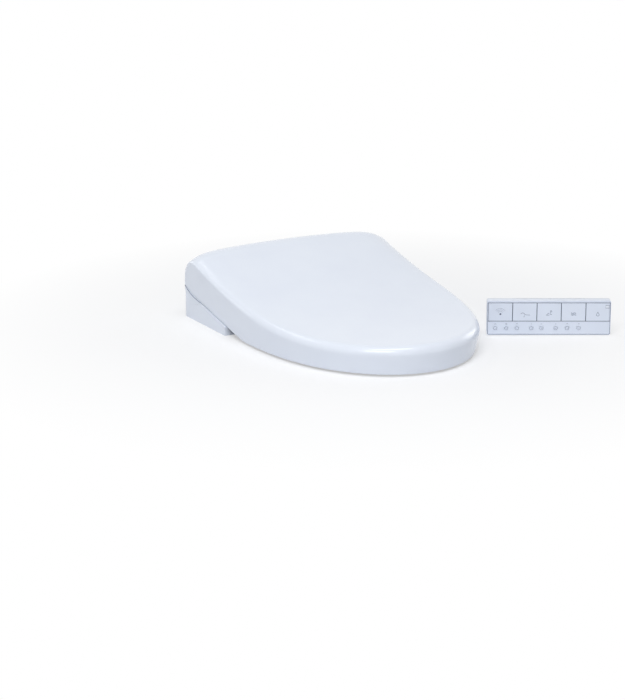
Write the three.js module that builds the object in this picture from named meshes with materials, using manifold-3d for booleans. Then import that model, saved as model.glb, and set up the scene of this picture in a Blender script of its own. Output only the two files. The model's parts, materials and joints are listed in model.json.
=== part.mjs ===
// Electric bidet seat: a hinged lid and seat ring on a wash unit that bolts to a toilet rim, with its remote.
// Millimetres. Z is up, the rim of the bowl is the plane z = 0, the front of the seat looks along -Y.
// The origin is midway between the two bolt holes of the bowl, on the rim.
import * as THREE from "three";
import { mergeVertices } from "three/addons/utils/BufferGeometryUtils.js";
import Module from "manifold-3d";

const wasm = await Module();
wasm.setup();

// ---------------------------------------------------------------- driving dimensions

const FIT = 0.3;             // gap between pieces that touch or are seated in each other
const RUN = 0.5;             // gap round a piece that turns or slides

// lid
const LID_WIDTH = 383;
const LID_REACH = 475;       // bolt line to the front tip
const FRONT_CURVE = 312.4;   // length of the rounded front of the outline
const FRONT_POWER = 2.4;     // squareness of that front
const LID_WALL = 3;
const LID_BOTTOM = 4;        // height of the skirt's lower edge above the rim
const LID_DRAFT = 6.3;       // how far the skirt leans in at its lower edge
const CREST_FRONT = 48.1;    // height of the top edge at the front
const CREST_FLAT = 50;       // length of the level stretch behind the tip
const CROWN_FRONT = 3;
const CROWN_REAR = 7;
const ARCH_REAR = 10.5;      // further rise at the rear, held almost out to the ears
const ARCH_POWER = 6;
const FILLET_FRONT = 11.3;
const FILLET_REAR = 5;
const LID_WRAP = 66;         // degrees above the horizontal where the lid ends behind the hinge
const LID_OPEN = 95;

// hinge line of lid and seat
const HINGE_Y = 12;
const HINGE_Z = 67.5;
const SHOULDER = 37.5;       // radius of the rounded rear end about the hinge line
const LID_PIVOT_R = 6;
const SEAT_PIVOT_R = 5;
const DAMPER_R = 11.5;

// wash unit
const PANEL_STEP = 2.5;      // the side panels stand this far inside the lid's sides
const EAR_WALL = 5.5;        // thickness of the lid's ears
const CORE_GAP = 1.2;        // between the lid's skirt and what it covers
const BASE_FRONT = 104;      // front face, ahead of the bolt line
const BASE_WALL = 2.6;
const TOP_GAP = 9;           // from the lid's crest to the top of the unit
const FRONT_TOP = 62;        // height of the unit's front edge
const TRAY_FLOOR = 3;
const SEAM_GAP = 0.8;        // between the lid's lower edge and the side panel
const CORNER_R = 8;

// toilet interface
const BOLT_SPACING = 140;
const SLOT_WIDTH = 12;
const SLOT_LENGTH = 28;
const PLATE_LENGTH = 196;
const PLATE_DEPTH = 52;
const PLATE_THICK = 4;

// seat ring
const SEAT_BOTTOM = 8;       // also the height of the bumpers
const SEAT_TOP = 36;
const SEAT_REAR_RISE = 10;
const SEAT_SPLIT = 20;
const SEAT_DISH = 2;         // fall of the top towards the hole
const SEAT_SIDE_GAP = 3;     // inside the lid's skirt
const SEAT_REAR_GAP = 1.5;   // ahead of the unit's front face
const SEAT_WALL = 3;
const HEATER_REAR = -250;    // where the heating sheet ends
const HOLE_HALF = 107;
const HOLE_FRONT = 400;      // from the bolt line
const HOLE_REAR = 132;
const BRIDGE_UNDER = 34;     // underside of the ring where the nozzle passes
const BRIDGE_HALF = 84;

// seat arms
const ARM_X = 131;           // middle of each arm
const ARM_WIDTH = 26;
const ARM_BOSS_R = 13;

// nozzle
const NOZZLE_SLOPE = 9;
const NOZZLE_R = 8;
const NOZZLE_LENGTH = 132;
const NOZZLE_TIP_Z = 21;     // height of its axis at the front face
const NOZZLE_TIP_LENGTH = 26;
const CAP_SIZE = 22;
const CAP_THICK = 3;

// dryer and air
const FLAP_X = 58;
const FLAP_WIDTH = 34;
const FLAP_HEIGHT = 17;
const FLAP_LOW = 10;
const FAN_X = 84;
const FAN_Y = -60;
const FAN_R = 27;
const FAN_DEPTH = 20;

// filter cartridge and the buttons of the right side panel
const FILTER_DEPTH = 58;
const FILTER_LENGTH = 48;
const FILTER_HEIGHT = 20;
const FILTER_Y = -22;
const FILTER_LOW = 6;
const RELEASE_Y = 26;
const POWER_Y = -78;
const SIDE_BUTTON_Z = 11;

// water and power
const INLET_SIDE = 39;       // from the left side panel
const INLET_Y = 26;
const INLET_R = 9;
const CORD_SIDE = 39;        // from the right side panel
const CORD_Z = 22;
const CORD_R = 7;
const CHANNEL_TOP = 10.2;    // room over the plate and its bolts
const CHANNEL_WALL = 3;

// inner units, each with its place in plan and its size
const TANK_X = -69;
const TANK_Y = -65;
const TANK_WIDTH = 74;
const TANK_DEPTH = 54;
const TANK_TOP = 44;
const PUMP_SIDE = 24;        // pump's axis from the left side panel
const PUMP_Y = -52;
const PUMP_R = 13;
const PUMP_LENGTH = 50;
const VALVES_X = -65;
const VALVES_Y = 7;
const VALVES_WIDTH = 54;
const VALVES_DEPTH = 34;
const VALVES_TOP = 28;
const BOARD_X = 61;
const BOARD_Y = 9;
const BOARD_WIDTH = 74;
const BOARD_DEPTH = 50;

// remote
const REMOTE_WIDTH = 210;
const REMOTE_HEIGHT = 60;
const REMOTE_DEPTH = 18;
const REMOTE_SIDE = 104.5;   // its middle from the lid's right side
const REMOTE_BACK = 110;     // and behind the lid's tip
const REMOTE_YAW = -29.5;
const REMOTE_SPLIT = 9;
const REMOTE_WALL = 2;
const REMOTE_LIFT = 1.2;     // underside above the plane the bracket stands on
const DOOR_HALF = 62;        // half width of the battery cover
const BRACKET_HALF = 90;
const BRACKET_TOP = 46;
const BRACKET_THICK = 5;
const STAND_DEPTH = 34;      // the bracket's foot, behind its back plate
const HOOK_X = 76;
const HOOK_Z = 30;           // underside of a hook
const HOOK_HALF = 5;
const HOOK_THICK = 3;
const HOOK_LIP = 5;          // how far a hook reaches up behind the case's wall
const LARGE_BUTTONS = 5;
const LARGE_BUTTON_HEIGHT = 31;
const SMALL_BUTTON_PLACES = [0.067, 0.156, 0.243, 0.359, 0.441, 0.557, 0.649, 0.743];
const SMALL_BUTTON_R = 3.6;
const BUTTON_PROUD = 0.8;
const KEY_DEPTH = 3.4;       // length of a key behind the remote's face

// ---------------------------------------------------------------- shared working values

const HALF_WIDTH = LID_WIDTH / 2;
const TIP_Y = -LID_REACH;
const WIDEST_Y = TIP_Y + FRONT_CURVE;
const CREST_START = TIP_Y + CREST_FLAT;
const REAR_Y = HINGE_Y + SHOULDER;
const HUMP_DROP = LID_WALL + 1.2;
const FRONT_Y = -BASE_FRONT;
const SEAT_REAR_Y = FRONT_Y - SEAT_REAR_GAP;
const EAR_INNER = HALF_WIDTH - EAR_WALL;
const CHEEK_HALF = EAR_INNER - RUN;
const BASE_HALF = HALF_WIDTH - PANEL_STEP;
const CORE_HALF = HALF_WIDTH - LID_DRAFT - LID_WALL - CORE_GAP;
const INLET_X = INLET_SIDE - BASE_HALF;
const CORD_X = BASE_HALF - CORD_SIDE;
const PUMP_X = PUMP_SIDE - BASE_HALF;
const REMOTE_X = HALF_WIDTH + REMOTE_SIDE;
const REMOTE_Y = TIP_Y + REMOTE_BACK;
const RAISED_FLOOR = CHANNEL_TOP + CHANNEL_WALL;
const EAR_ZONE_R = SHOULDER + 1.5;
const NOZZLE_ANGLE = THREE.MathUtils.degToRad(NOZZLE_SLOPE);

// The rounded rear end meets the crest line where both have the same slope.
let meetAngle = 0.2;
for (let pass = 0; pass < 30; pass += 1) {
  const y = HINGE_Y - SHOULDER * Math.sin(meetAngle);
  const z = HINGE_Z + SHOULDER * Math.cos(meetAngle);
  meetAngle = Math.atan((2 * (z - CREST_FRONT)) / (y - CREST_START));
}
const MEET_Y = HINGE_Y - SHOULDER * Math.sin(meetAngle);
const MEET_Z = HINGE_Z + SHOULDER * Math.cos(meetAngle);

// ---------------------------------------------------------------- solids

function solid(geometry) {
  let g = geometry.index ? geometry.toNonIndexed() : geometry;
  g = g.clone();
  g.deleteAttribute("normal");
  g.deleteAttribute("uv");
  g = mergeVertices(g, 1e-4);
  return new wasm.Manifold(new wasm.Mesh({
    numProp: 3,
    vertProperties: new Float32Array(g.attributes.position.array),
    triVerts: new Uint32Array(g.index.array),
  }));
}

function geometryOf(manifold) {
  const mesh = manifold.getMesh();
  const g = new THREE.BufferGeometry();
  g.setAttribute("position", new THREE.BufferAttribute(new Float32Array(mesh.vertProperties), 3));
  g.setIndex(new THREE.BufferAttribute(new Uint32Array(mesh.triVerts), 1));
  return g;
}

function box(x0, x1, y0, y1, z0, z1) {
  const g = new THREE.BoxGeometry(x1 - x0, y1 - y0, z1 - z0);
  g.translate((x0 + x1) / 2, (y0 + y1) / 2, (z0 + z1) / 2);
  return solid(g);
}

function shapeOf(points) {
  return new THREE.Shape(points.map(([a, b]) => new THREE.Vector2(a, b)));
}

function prismZ(points, z0, z1) {
  const g = new THREE.ExtrudeGeometry(shapeOf(points), { depth: z1 - z0, bevelEnabled: false });
  g.translate(0, 0, z0);
  return solid(g);
}

// points are (y, z); the prism runs along X
function prismX(points, x0, x1) {
  const g = new THREE.ExtrudeGeometry(shapeOf(points), { depth: x1 - x0, bevelEnabled: false });
  g.applyMatrix4(new THREE.Matrix4().set(0, 0, 1, x0, 1, 0, 0, 0, 0, 1, 0, 0, 0, 0, 0, 1));
  return solid(g);
}

function cylinder(axis, centre, radius, length, sides = 24) {
  const g = new THREE.CylinderGeometry(radius, radius, length, sides);
  if (axis === "x") g.rotateZ(Math.PI / 2);
  if (axis === "z") g.rotateX(Math.PI / 2);
  g.translate(...centre);
  return solid(g);
}

// profile is (radius, distance along the axis), closed on the axis
function turned(axis, centre, profile, sides = 28) {
  const g = new THREE.LatheGeometry(profile.map(([r, h]) => new THREE.Vector2(r, h)), sides);
  if (axis === "x") g.rotateZ(-Math.PI / 2);
  if (axis === "z") g.rotateX(Math.PI / 2);
  g.translate(...centre);
  return solid(g);
}

function unite(solids) {
  return solids.reduce((sum, s) => sum.add(s));
}

function cut(body, tools) {
  return tools.reduce((rest, tool) => rest.subtract(tool), body);
}

function both(make) {
  return [make(-1), make(1)];
}

// an x range on the given side, from the inner to the outer distance
function span(side, inner, outer) {
  return side < 0 ? [-outer, -inner] : [inner, outer];
}

function roundedRectangle(x0, x1, y0, y1, r, steps = 4) {
  const points = [];
  const corners = [[x1 - r, y1 - r, 0], [x0 + r, y1 - r, 90], [x0 + r, y0 + r, 180], [x1 - r, y0 + r, 270]];
  for (const [cx, cy, start] of corners) {
    for (let i = 0; i <= steps; i += 1) {
      const a = THREE.MathUtils.degToRad(start + (90 * i) / steps);
      points.push([cx + r * Math.cos(a), cy + r * Math.sin(a)]);
    }
  }
  return points;
}

// closed body through rings of equal length; the first ring gets a flat cap about its own middle
function loft(rings, capLast) {
  const position = [];
  const count = rings[0].length;
  const put = (a, b, c) => position.push(...a, ...b, ...c);
  for (let r = 0; r + 1 < rings.length; r += 1) {
    for (let i = 0; i < count; i += 1) {
      const j = (i + 1) % count;
      put(rings[r][i], rings[r][j], rings[r + 1][j]);
      put(rings[r][i], rings[r + 1][j], rings[r + 1][i]);
    }
  }
  const cap = (ring, flip) => {
    const mid = [0, 1, 2].map((k) => ring.reduce((s, p) => s + p[k], 0) / count);
    for (let i = 0; i < count; i += 1) {
      const a = ring[i];
      const b = ring[(i + 1) % count];
      if (flip) put(mid, a, b);
      else put(mid, b, a);
    }
  };
  cap(rings[0], false);
  if (capLast) cap(rings[rings.length - 1], true);
  const g = new THREE.BufferGeometry();
  g.setAttribute("position", new THREE.BufferAttribute(new Float32Array(position), 3));
  return solid(g);
}

// ---------------------------------------------------------------- the outline and crest of the lid

function crest(y) {
  const u = Math.max(0, (y - CREST_START) / (MEET_Y - CREST_START));
  return CREST_FRONT + (MEET_Z - CREST_FRONT) * u * u;
}

function rearShare(y) {
  return Math.min(1, Math.max(0, (y - CREST_START) / (MEET_Y - CREST_START)));
}

function arch(x) {
  return ARCH_REAR * Math.max(0, 1 - (Math.abs(x) / EAR_INNER) ** ARCH_POWER);
}

// rise of the lid's upper surface above the crest line; it levels off where the rounded end starts
function crown(x, y) {
  const growth = rearShare(y) ** 4 * (5 - 4 * rearShare(y));
  const height = CROWN_FRONT + (CROWN_REAR - CROWN_FRONT) * growth;
  return height * (1 - (x / HALF_WIDTH) ** 2) + arch(x) * growth;
}

function fillet(y) {
  return FILLET_FRONT + (FILLET_REAR - FILLET_FRONT) * rearShare(y) ** 2;
}

// radius of the rounded rear end about the hinge line
function shoulder(x) {
  return SHOULDER + CROWN_REAR * (1 - (x / HALF_WIDTH) ** 2) + arch(x);
}

// counter-clockwise from the rear right corner: (x, y) with the outward normal
function outline(rearY) {
  const points = [];
  const sideSteps = 9;
  const frontSteps = 40;
  const side = (s) => {
    const run = [];
    for (let i = 0; i < sideSteps; i += 1) {
      run.push({ x: s * HALF_WIDTH, y: rearY + ((WIDEST_Y - rearY) * i) / sideSteps, nx: s, ny: 0 });
    }
    return run;
  };
  points.push(...side(-1));
  for (let i = 0; i <= frontSteps; i += 1) {
    const a = (Math.PI * i) / frontSteps;
    const at = (v) => [
      -HALF_WIDTH * Math.cos(v),
      WIDEST_Y - FRONT_CURVE * Math.max(0, Math.sin(v)) ** (2 / FRONT_POWER),
    ];
    const [x, y] = at(a);
    const [x0, y0] = at(Math.max(0, a - 0.01));
    const [x1, y1] = at(Math.min(Math.PI, a + 0.01));
    const long = Math.hypot(x1 - x0, y1 - y0);
    const ends = i === 0 || i === frontSteps;
    points.push({ x, y, nx: ends ? Math.sign(x) : (y1 - y0) / long, ny: ends ? 0 : -(x1 - x0) / long });
  }
  points.push(...side(1).reverse());
  return points;
}

function ring(points, inset, height) {
  return points.map((p) => {
    const x = p.x - p.nx * inset;
    const y = p.y - p.ny * inset;
    return [x, y, height(x, y)];
  });
}

// the solid under the lid's surface, shrunk by a wall
function lidBody(wall, rearY) {
  const points = outline(rearY);
  const below = LID_BOTTOM - 8;
  const rings = [
    ring(points, wall + LID_DRAFT, () => below),
    ring(points, wall + LID_DRAFT, () => LID_BOTTOM),
  ];
  const steps = 4;
  for (let i = 0; i <= steps; i += 1) {
    const a = (Math.PI / 2) * (i / steps);
    rings.push(points.map((p) => {
      const r = Math.max(1, fillet(p.y) - wall);
      const inset = wall + r * (1 - Math.cos(a));
      const x = p.x - p.nx * inset;
      const y = p.y - p.ny * inset;
      return [x, y, crest(p.y) + crown(x, y) - wall - r * (1 - Math.sin(a))];
    }));
  }
  const edge = rings[rings.length - 1];
  for (const share of [0.95, 0.9, 0.84, 0.76, 0.64, 0.45, 0.2, 0]) {
    rings.push(edge.map(([x, y, z]) => {
      const lift = crown(x * share, y) - crown(x, y);
      return [x * share, y, z + lift];
    }));
  }
  return loft(rings, false);
}

function barrel(drop, half) {
  const profile = [[0, -half]];
  const steps = 16;
  for (let i = 0; i <= steps; i += 1) {
    const x = -half * Math.cos((Math.PI * i) / steps);
    profile.push([shoulder(x) - drop, x]);
  }
  profile.push([0, half]);
  return turned("x", [0, HINGE_Y, HINGE_Z], profile, 40);
}

// everything ahead of the rounded rear end, with the rounding itself
function rearEnvelope(drop, half) {
  return unite([
    box(-half, half, TIP_Y - 10, MEET_Y, -20, 200),
    barrel(drop, half),
    box(-half, half, TIP_Y - 10, REAR_Y - drop, -20, HINGE_Z),
  ]);
}

// lower edge of the lid along its side, as (y, z) from the front to the rear
function seam(rise) {
  const curve = new THREE.SplineCurve([
    [WIDEST_Y, LID_BOTTOM], [WIDEST_Y + 30, LID_BOTTOM + 6], [FRONT_Y - 12, LID_BOTTOM + 10],
    [FRONT_Y + 30, LID_BOTTOM + 19], [HINGE_Y - 43, HINGE_Z - 34.5], [HINGE_Y + 7.5, HINGE_Z - 25],
    [REAR_Y, HINGE_Z - 10.5],
  ].map(([y, z]) => new THREE.Vector2(y, z + rise)));
  return curve.getPoints(18).map((p) => [p.x, p.y]);
}

function belowSeam(rise, frontZ) {
  return [
    [TIP_Y - 20, -30], [REAR_Y + 30, -30], [REAR_Y + 30, HINGE_Z + rise - 2.5],
    ...seam(rise).reverse(), [TIP_Y - 20, frontZ],
  ];
}

// ---------------------------------------------------------------- materials and the scene graph

const object = new THREE.Group();
const COLOURS = {
  gloss_white: { color: 0xe4ebf4, roughness: 0.18, metalness: 0 },
  satin_white: { color: 0xdfe3ea, roughness: 0.4, metalness: 0 },
  inner_grey: { color: 0xb9bec6, roughness: 0.55, metalness: 0 },
  dark_plastic: { color: 0x3b3f45, roughness: 0.5, metalness: 0 },
  rubber: { color: 0xc9cdd2, roughness: 0.8, metalness: 0 },
  steel: { color: 0xb8bcc0, roughness: 0.3, metalness: 1 },
  brass: { color: 0xb9975a, roughness: 0.35, metalness: 1 },
  board_green: { color: 0x2f6b47, roughness: 0.6, metalness: 0 },
  key_white: { color: 0xd4dff0, roughness: 0.35, metalness: 0 },
};

function place(name, body, finish, parent = object) {
  const mesh = new THREE.Mesh(geometryOf(body), new THREE.MeshStandardMaterial(COLOURS[finish]));
  mesh.name = name;
  parent.add(mesh);
  return mesh;
}

// ---------------------------------------------------------------- lid

function buildLid() {
  const far = REAR_Y + CROWN_REAR + ARCH_REAR + 6;
  const outer = lidBody(0, far).intersect(rearEnvelope(0, HALF_WIDTH + 5));
  const inner = lidBody(LID_WALL, far + 2).intersect(rearEnvelope(LID_WALL, EAR_INNER));
  const openRear = prismX([
    [HINGE_Y, HINGE_Z - 60],
    [HINGE_Y + 90, HINGE_Z - 60],
    [HINGE_Y + 90, HINGE_Z + 90 * Math.tan(THREE.MathUtils.degToRad(LID_WRAP))],
    [HINGE_Y, HINGE_Z],
  ], -EAR_INNER, EAR_INNER);
  const earRoom = box(-EAR_INNER, EAR_INNER, HINGE_Y - SHOULDER + 3, REAR_Y + 5, 0, HINGE_Z + 5);
  const below = prismX(belowSeam(0, LID_BOTTOM), -HALF_WIDTH - 20, HALF_WIDTH + 20);
  const shell = cut(outer, [inner, earRoom, openRear, below]);
  place("lid_shell", shell, "gloss_white");
  for (const [side, word] of [[-1, "left"], [1, "right"]]) {
    const [x0, x1] = span(side, EAR_INNER - 26, EAR_INNER - FIT);
    const pin = cylinder("x", [(x0 + x1) / 2, HINGE_Y, HINGE_Z], LID_PIVOT_R, x1 - x0);
    place(`lid_pivot_${word}`, pin, "inner_grey");
    const padY = -300;
    const padX = side * 128;
    const top = crest(padY) + crown(padX, padY) - LID_WALL - FIT - 0.4;
    const foot = SEAT_TOP + FIT;
    const tall = top - foot - 0.6;
    const pad = turned("z", [padX, padY, foot], [[0, 0], [6.5, 0], [7, 1.5], [5.5, tall], [0, tall]]);
    place(`lid_bumper_${word}`, pad, "rubber");
  }
}

// ---------------------------------------------------------------- seat

function seatTop(y) {
  const u = Math.min(1, Math.max(0, (y + 250) / 110));
  return SEAT_TOP + SEAT_REAR_RISE * u * u * (3 - 2 * u);
}

function holePoints(grow) {
  const points = [];
  const half = HOLE_HALF + grow;
  const length = (HOLE_FRONT - HOLE_REAR) / 2 + grow;
  const mid = -(HOLE_FRONT + HOLE_REAR) / 2;
  const steps = 40;
  for (let i = 0; i < steps; i += 1) {
    const a = (2 * Math.PI * i) / steps;
    const power = Math.sin(a) > 0 ? 0.72 : 0.92;
    const s = Math.sin(a);
    const c = Math.cos(a);
    const x = half * Math.sign(c) * Math.abs(c) ** 0.85;
    points.push([x, mid + length * Math.sign(s) * Math.abs(s) ** power]);
  }
  return points;
}

function seatBody(inset, drop) {
  const edge = LID_DRAFT + LID_WALL + SEAT_SIDE_GAP + inset;
  const points = outline(SEAT_REAR_Y + 20);
  const round = 9;
  const rings = [
    ring(points, edge + 2, () => SEAT_BOTTOM - 4),
    ring(points, edge + 2, () => SEAT_BOTTOM),
    ring(points, edge, () => SEAT_BOTTOM + 4),
  ];
  for (const a of [0, 30, 60, 90]) {
    const turn = THREE.MathUtils.degToRad(a);
    rings.push(ring(points, edge + round * (1 - Math.cos(turn)), (x, y) => (
      seatTop(y) - drop - round * (1 - Math.sin(turn))
    )));
  }
  rings.push(ring(points, edge + round + 26, (x, y) => seatTop(y) - drop - SEAT_DISH));
  return loft(rings, true);
}

function armProfile(grow) {
  const boss = ARM_BOSS_R + grow;
  const points = [];
  for (let a = -100; a <= 105; a += 20.5) {
    const t = THREE.MathUtils.degToRad(a);
    points.push([HINGE_Y + boss * Math.cos(t), HINGE_Z + boss * Math.sin(t)]);
  }
  points.push([HINGE_Y - 70, HINGE_Z + 2 + grow]);
  points.push([SEAT_REAR_Y - 8, SEAT_TOP + SEAT_REAR_RISE - 2 + grow]);
  points.push([SEAT_REAR_Y - 8, BRIDGE_UNDER - grow]);
  points.push([HINGE_Y - 92, BRIDGE_UNDER - grow]);
  points.push([HINGE_Y - 60, HINGE_Z - 16 - grow]);
  return points;
}

function buildSeat() {
  const body = seatBody(0, 0).intersect(box(-200, 200, TIP_Y, SEAT_REAR_Y, SEAT_BOTTOM, 90));
  const hole = prismZ(holePoints(0), -10, 90);
  const passage = box(-BRIDGE_HALF, BRIDGE_HALF, -HOLE_REAR - 30, SEAT_REAR_Y + 30, 0, BRIDGE_UNDER);
  const ringSolid = cut(body, [hole, passage]);
  const arms = both((side) => {
    const [x0, x1] = span(side, ARM_X - ARM_WIDTH / 2, ARM_X + ARM_WIDTH / 2);
    return prismX(armProfile(0), x0, x1);
  });
  const pinHoles = cylinder("x", [0, HINGE_Y, HINGE_Z], SEAT_PIVOT_R + FIT, 400);
  const upperHalf = box(-200, 200, TIP_Y, SEAT_REAR_Y, SEAT_SPLIT + FIT / 2, 90);
  const lowerHalf = box(-200, 200, TIP_Y, SEAT_REAR_Y - 36, 0, SEAT_SPLIT - FIT / 2);
  const within = (inset, drop) => cut(seatBody(inset, drop), [prismZ(holePoints(inset), -10, 90)]);
  const room = within(SEAT_WALL, SEAT_WALL).intersect(box(-200, 200, TIP_Y, -HOLE_REAR - 34, 0, 90));
  const upper = cut(ringSolid.intersect(upperHalf), [room]).add(unite(arms)).subtract(pinHoles);
  place("seat_upper", upper, "gloss_white");
  const pan = cut(ringSolid.intersect(lowerHalf), [
    room.intersect(box(-200, 200, TIP_Y, 0, SEAT_BOTTOM + SEAT_WALL, 90)),
  ]);
  place("seat_lower", pan, "satin_white");
  const heaterEdge = LID_DRAFT + LID_WALL + SEAT_SIDE_GAP + SEAT_WALL + 9;
  const heaterPlan = ring(outline(FRONT_Y), heaterEdge, () => 0).map(([x, y]) => [x, y]);
  const ceiling = SEAT_TOP - SEAT_DISH - SEAT_WALL - FIT;
  const sheet = prismZ(heaterPlan, ceiling - 1, ceiling)
    .intersect(box(-HALF_WIDTH, HALF_WIDTH, TIP_Y, HEATER_REAR, 0, 60))
    .subtract(prismZ(holePoints(SEAT_WALL + 2), 0, 60));
  place("seat_heater", sheet, "inner_grey");
  for (const [side, word] of [[-1, "left"], [1, "right"]]) {
    for (const [where, y, x] of [["front", -388, 100], ["rear", -190, 150]]) {
      const foot = turned("z", [side * x, y, 0], [
        [0, 0], [8, 0], [9, 1.5], [8, SEAT_BOTTOM - FIT], [0, SEAT_BOTTOM - FIT],
      ]);
      place(`seat_bumper_${where}_${word}`, foot, "rubber");
    }
    const [x0, x1] = span(side, ARM_X - ARM_WIDTH / 2 - 14, ARM_X + ARM_WIDTH / 2 + 6);
    const pin = cylinder("x", [(x0 + x1) / 2, HINGE_Y, HINGE_Z], SEAT_PIVOT_R, x1 - x0);
    place(`seat_pivot_${word}`, pin, "steel");
  }
}

// ---------------------------------------------------------------- wash unit: cover and tray

const PANEL_RISE = -SEAM_GAP;
const SWEEP_LOW = THREE.MathUtils.degToRad(LID_OPEN - LID_WRAP + 6);
const GROOVE_TOP = HINGE_Z - (SHOULDER + CROWN_REAR + ARCH_REAR) * Math.sin(SWEEP_LOW);
const ARM_SLOT = ARM_WIDTH / 2 + 1;

// plan outline of the unit, shrunk by a wall
function basePlan(inset) {
  const half = BASE_HALF - inset;
  const r = CORNER_R - inset;
  const points = [[-half, FRONT_Y + inset], [half, FRONT_Y + inset]];
  const cornerY = REAR_Y - CORNER_R;
  for (let i = 0; i <= 4; i += 1) {
    const a = (Math.PI / 2) * (i / 4);
    points.push([BASE_HALF - CORNER_R + r * Math.cos(a), cornerY + r * Math.sin(a)]);
  }
  const steps = 20;
  const flat = BASE_HALF - CORNER_R;
  for (let i = 1; i < steps; i += 1) {
    const x = flat - (2 * flat * i) / steps;
    points.push([x, HINGE_Y + shoulder(x) - inset]);
  }
  for (let i = 0; i <= 4; i += 1) {
    const a = Math.PI / 2 + (Math.PI / 2) * (i / 4);
    points.push([-(BASE_HALF - CORNER_R) + r * Math.cos(a), cornerY + r * Math.sin(a)]);
  }
  return points;
}

// side profile of what the lid covers, shrunk by a wall
function coreProfile(inset) {
  const points = [[HINGE_Y + 6, -2], [FRONT_Y + inset, -2], [FRONT_Y + inset, FRONT_TOP - inset]];
  points.push([FRONT_Y + 4, FRONT_TOP + 5 - inset]);
  points.push([FRONT_Y + 12, FRONT_TOP + 9 - inset]);
  const steps = 8;
  for (let i = 0; i <= steps; i += 1) {
    const y = FRONT_Y + 26 + ((HINGE_Y - 10 - FRONT_Y - 26) * i) / steps;
    points.push([y, crest(y) - TOP_GAP - inset]);
  }
  points.push([HINGE_Y + 6, crest(HINGE_Y - 10) - TOP_GAP - inset]);
  return points.reverse();
}

function sidePanelProfile(inset) {
  const edge = seam(PANEL_RISE - inset).filter(([y]) => y > FRONT_Y - 20);
  const rearZ = edge[edge.length - 1][1];
  return [[FRONT_Y - 20, -2], ...edge, [REAR_Y + 20, rearZ], [REAR_Y + 20, -2]].reverse();
}

// path of the lid's rear edge behind the hinge, from closed to open
function lidSweep() {
  const wedge = prismX([
    [HINGE_Y, HINGE_Z], [HINGE_Y + 90, HINGE_Z - 90 * Math.tan(SWEEP_LOW)],
    [HINGE_Y + 90, HINGE_Z + 90], [HINGE_Y, HINGE_Z + 90],
  ], -EAR_INNER, EAR_INNER);
  return barrel(-RUN, EAR_INNER).intersect(wedge);
}

function armSlot(grow) {
  const r = ARM_BOSS_R + 0.8 + grow;
  const points = [
    [FRONT_Y - 10, BRIDGE_UNDER - 1 - grow], [HINGE_Y - 93, BRIDGE_UNDER - 1 - grow],
    [HINGE_Y - 61, HINGE_Z - 17 - grow],
  ];
  for (let i = 0; i <= 5; i += 1) {
    const a = -Math.PI / 2 + (Math.PI / 2) * (i / 5);
    points.push([HINGE_Y + r * Math.cos(a), HINGE_Z + r * Math.sin(a)]);
  }
  points.push([HINGE_Y + r, HINGE_Z + 80], [FRONT_Y - 10, HINGE_Z + 80]);
  return unite(both((side) => {
    const [x0, x1] = span(side, ARM_X - ARM_SLOT - grow, ARM_X + ARM_SLOT + grow);
    return prismX(points, x0, x1);
  }));
}

function recess(grow) {
  return unite(both((side) => {
    const [x0, x1] = span(side, CHEEK_HALF - grow, BASE_HALF + 10);
    return cylinder("x", [(x0 + x1) / 2, HINGE_Y, HINGE_Z], EAR_ZONE_R + grow, x1 - x0, 48);
  }));
}

function unitBody(inset) {
  const low = inset > 0 ? -5 : 0;
  const plan = prismZ(basePlan(inset), low, 130);
  const core = prismX(coreProfile(inset), -CORE_HALF + inset, CORE_HALF - inset);
  const panels = prismX(sidePanelProfile(inset), -BASE_HALF, BASE_HALF);
  const rearTop = box(-CHEEK_HALF, CHEEK_HALF, HINGE_Y, REAR_Y + 20, GROOVE_TOP - inset, HINGE_Z + 80);
  const shell = plan.intersect(core.add(panels));
  const hump = barrel(HUMP_DROP + inset, CHEEK_HALF - inset);
  if (inset === 0) return cut(shell, [lidSweep(), rearTop, recess(0)]).add(hump);
  const behind = barrel(-RUN - inset, EAR_INNER)
    .intersect(box(-HALF_WIDTH, HALF_WIDTH, HINGE_Y, REAR_Y + 20, GROOVE_TOP - inset, 200));
  return cut(shell, [behind, rearTop, recess(inset)]).add(hump);
}

function buildCover() {
  const room = unitBody(BASE_WALL).subtract(armSlot(BASE_WALL));
  const slope = Math.tan(NOZZLE_ANGLE) * CAP_THICK;
  const port = CAP_SIZE / 2 + RUN;
  const nozzlePort = box(
    -port, port, FRONT_Y - 5, FRONT_Y + 8, NOZZLE_TIP_Z - port - slope, NOZZLE_TIP_Z + port + 1.6,
  );
  const flapPort = box(
    FLAP_X - FLAP_WIDTH / 2 - RUN, FLAP_X + FLAP_WIDTH / 2 + RUN, FRONT_Y - 5, FRONT_Y + 8,
    FLAP_LOW - RUN, FLAP_LOW + FLAP_HEIGHT + RUN,
  );
  const bay = box(
    BASE_HALF - 8, BASE_HALF + 8, FILTER_Y - FILTER_LENGTH / 2 - RUN, FILTER_Y + FILTER_LENGTH / 2 + RUN,
    FILTER_LOW - RUN, FILTER_LOW + FILTER_HEIGHT + RUN,
  );
  const release = box(
    BASE_HALF - 8, BASE_HALF + 8, RELEASE_Y - 8 - RUN, RELEASE_Y + 8 + RUN,
    SIDE_BUTTON_Z - 5 - RUN, SIDE_BUTTON_Z + 5 + RUN,
  );
  const power = cylinder("x", [BASE_HALF, POWER_Y, SIDE_BUTTON_Z], 6 + RUN, 16);
  const lidPins = cylinder("x", [0, HINGE_Y, HINGE_Z], LID_PIVOT_R + FIT, 2 * BASE_HALF);
  const gland = cylinder("y", [CORD_X, REAR_Y, CORD_Z], CORD_R + FIT, 40);
  const ports = [nozzlePort, flapPort, bay, release, power, lidPins, gland];
  place("base_cover", cut(unitBody(0), [room, armSlot(0), ...ports]), "gloss_white");
}

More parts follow.
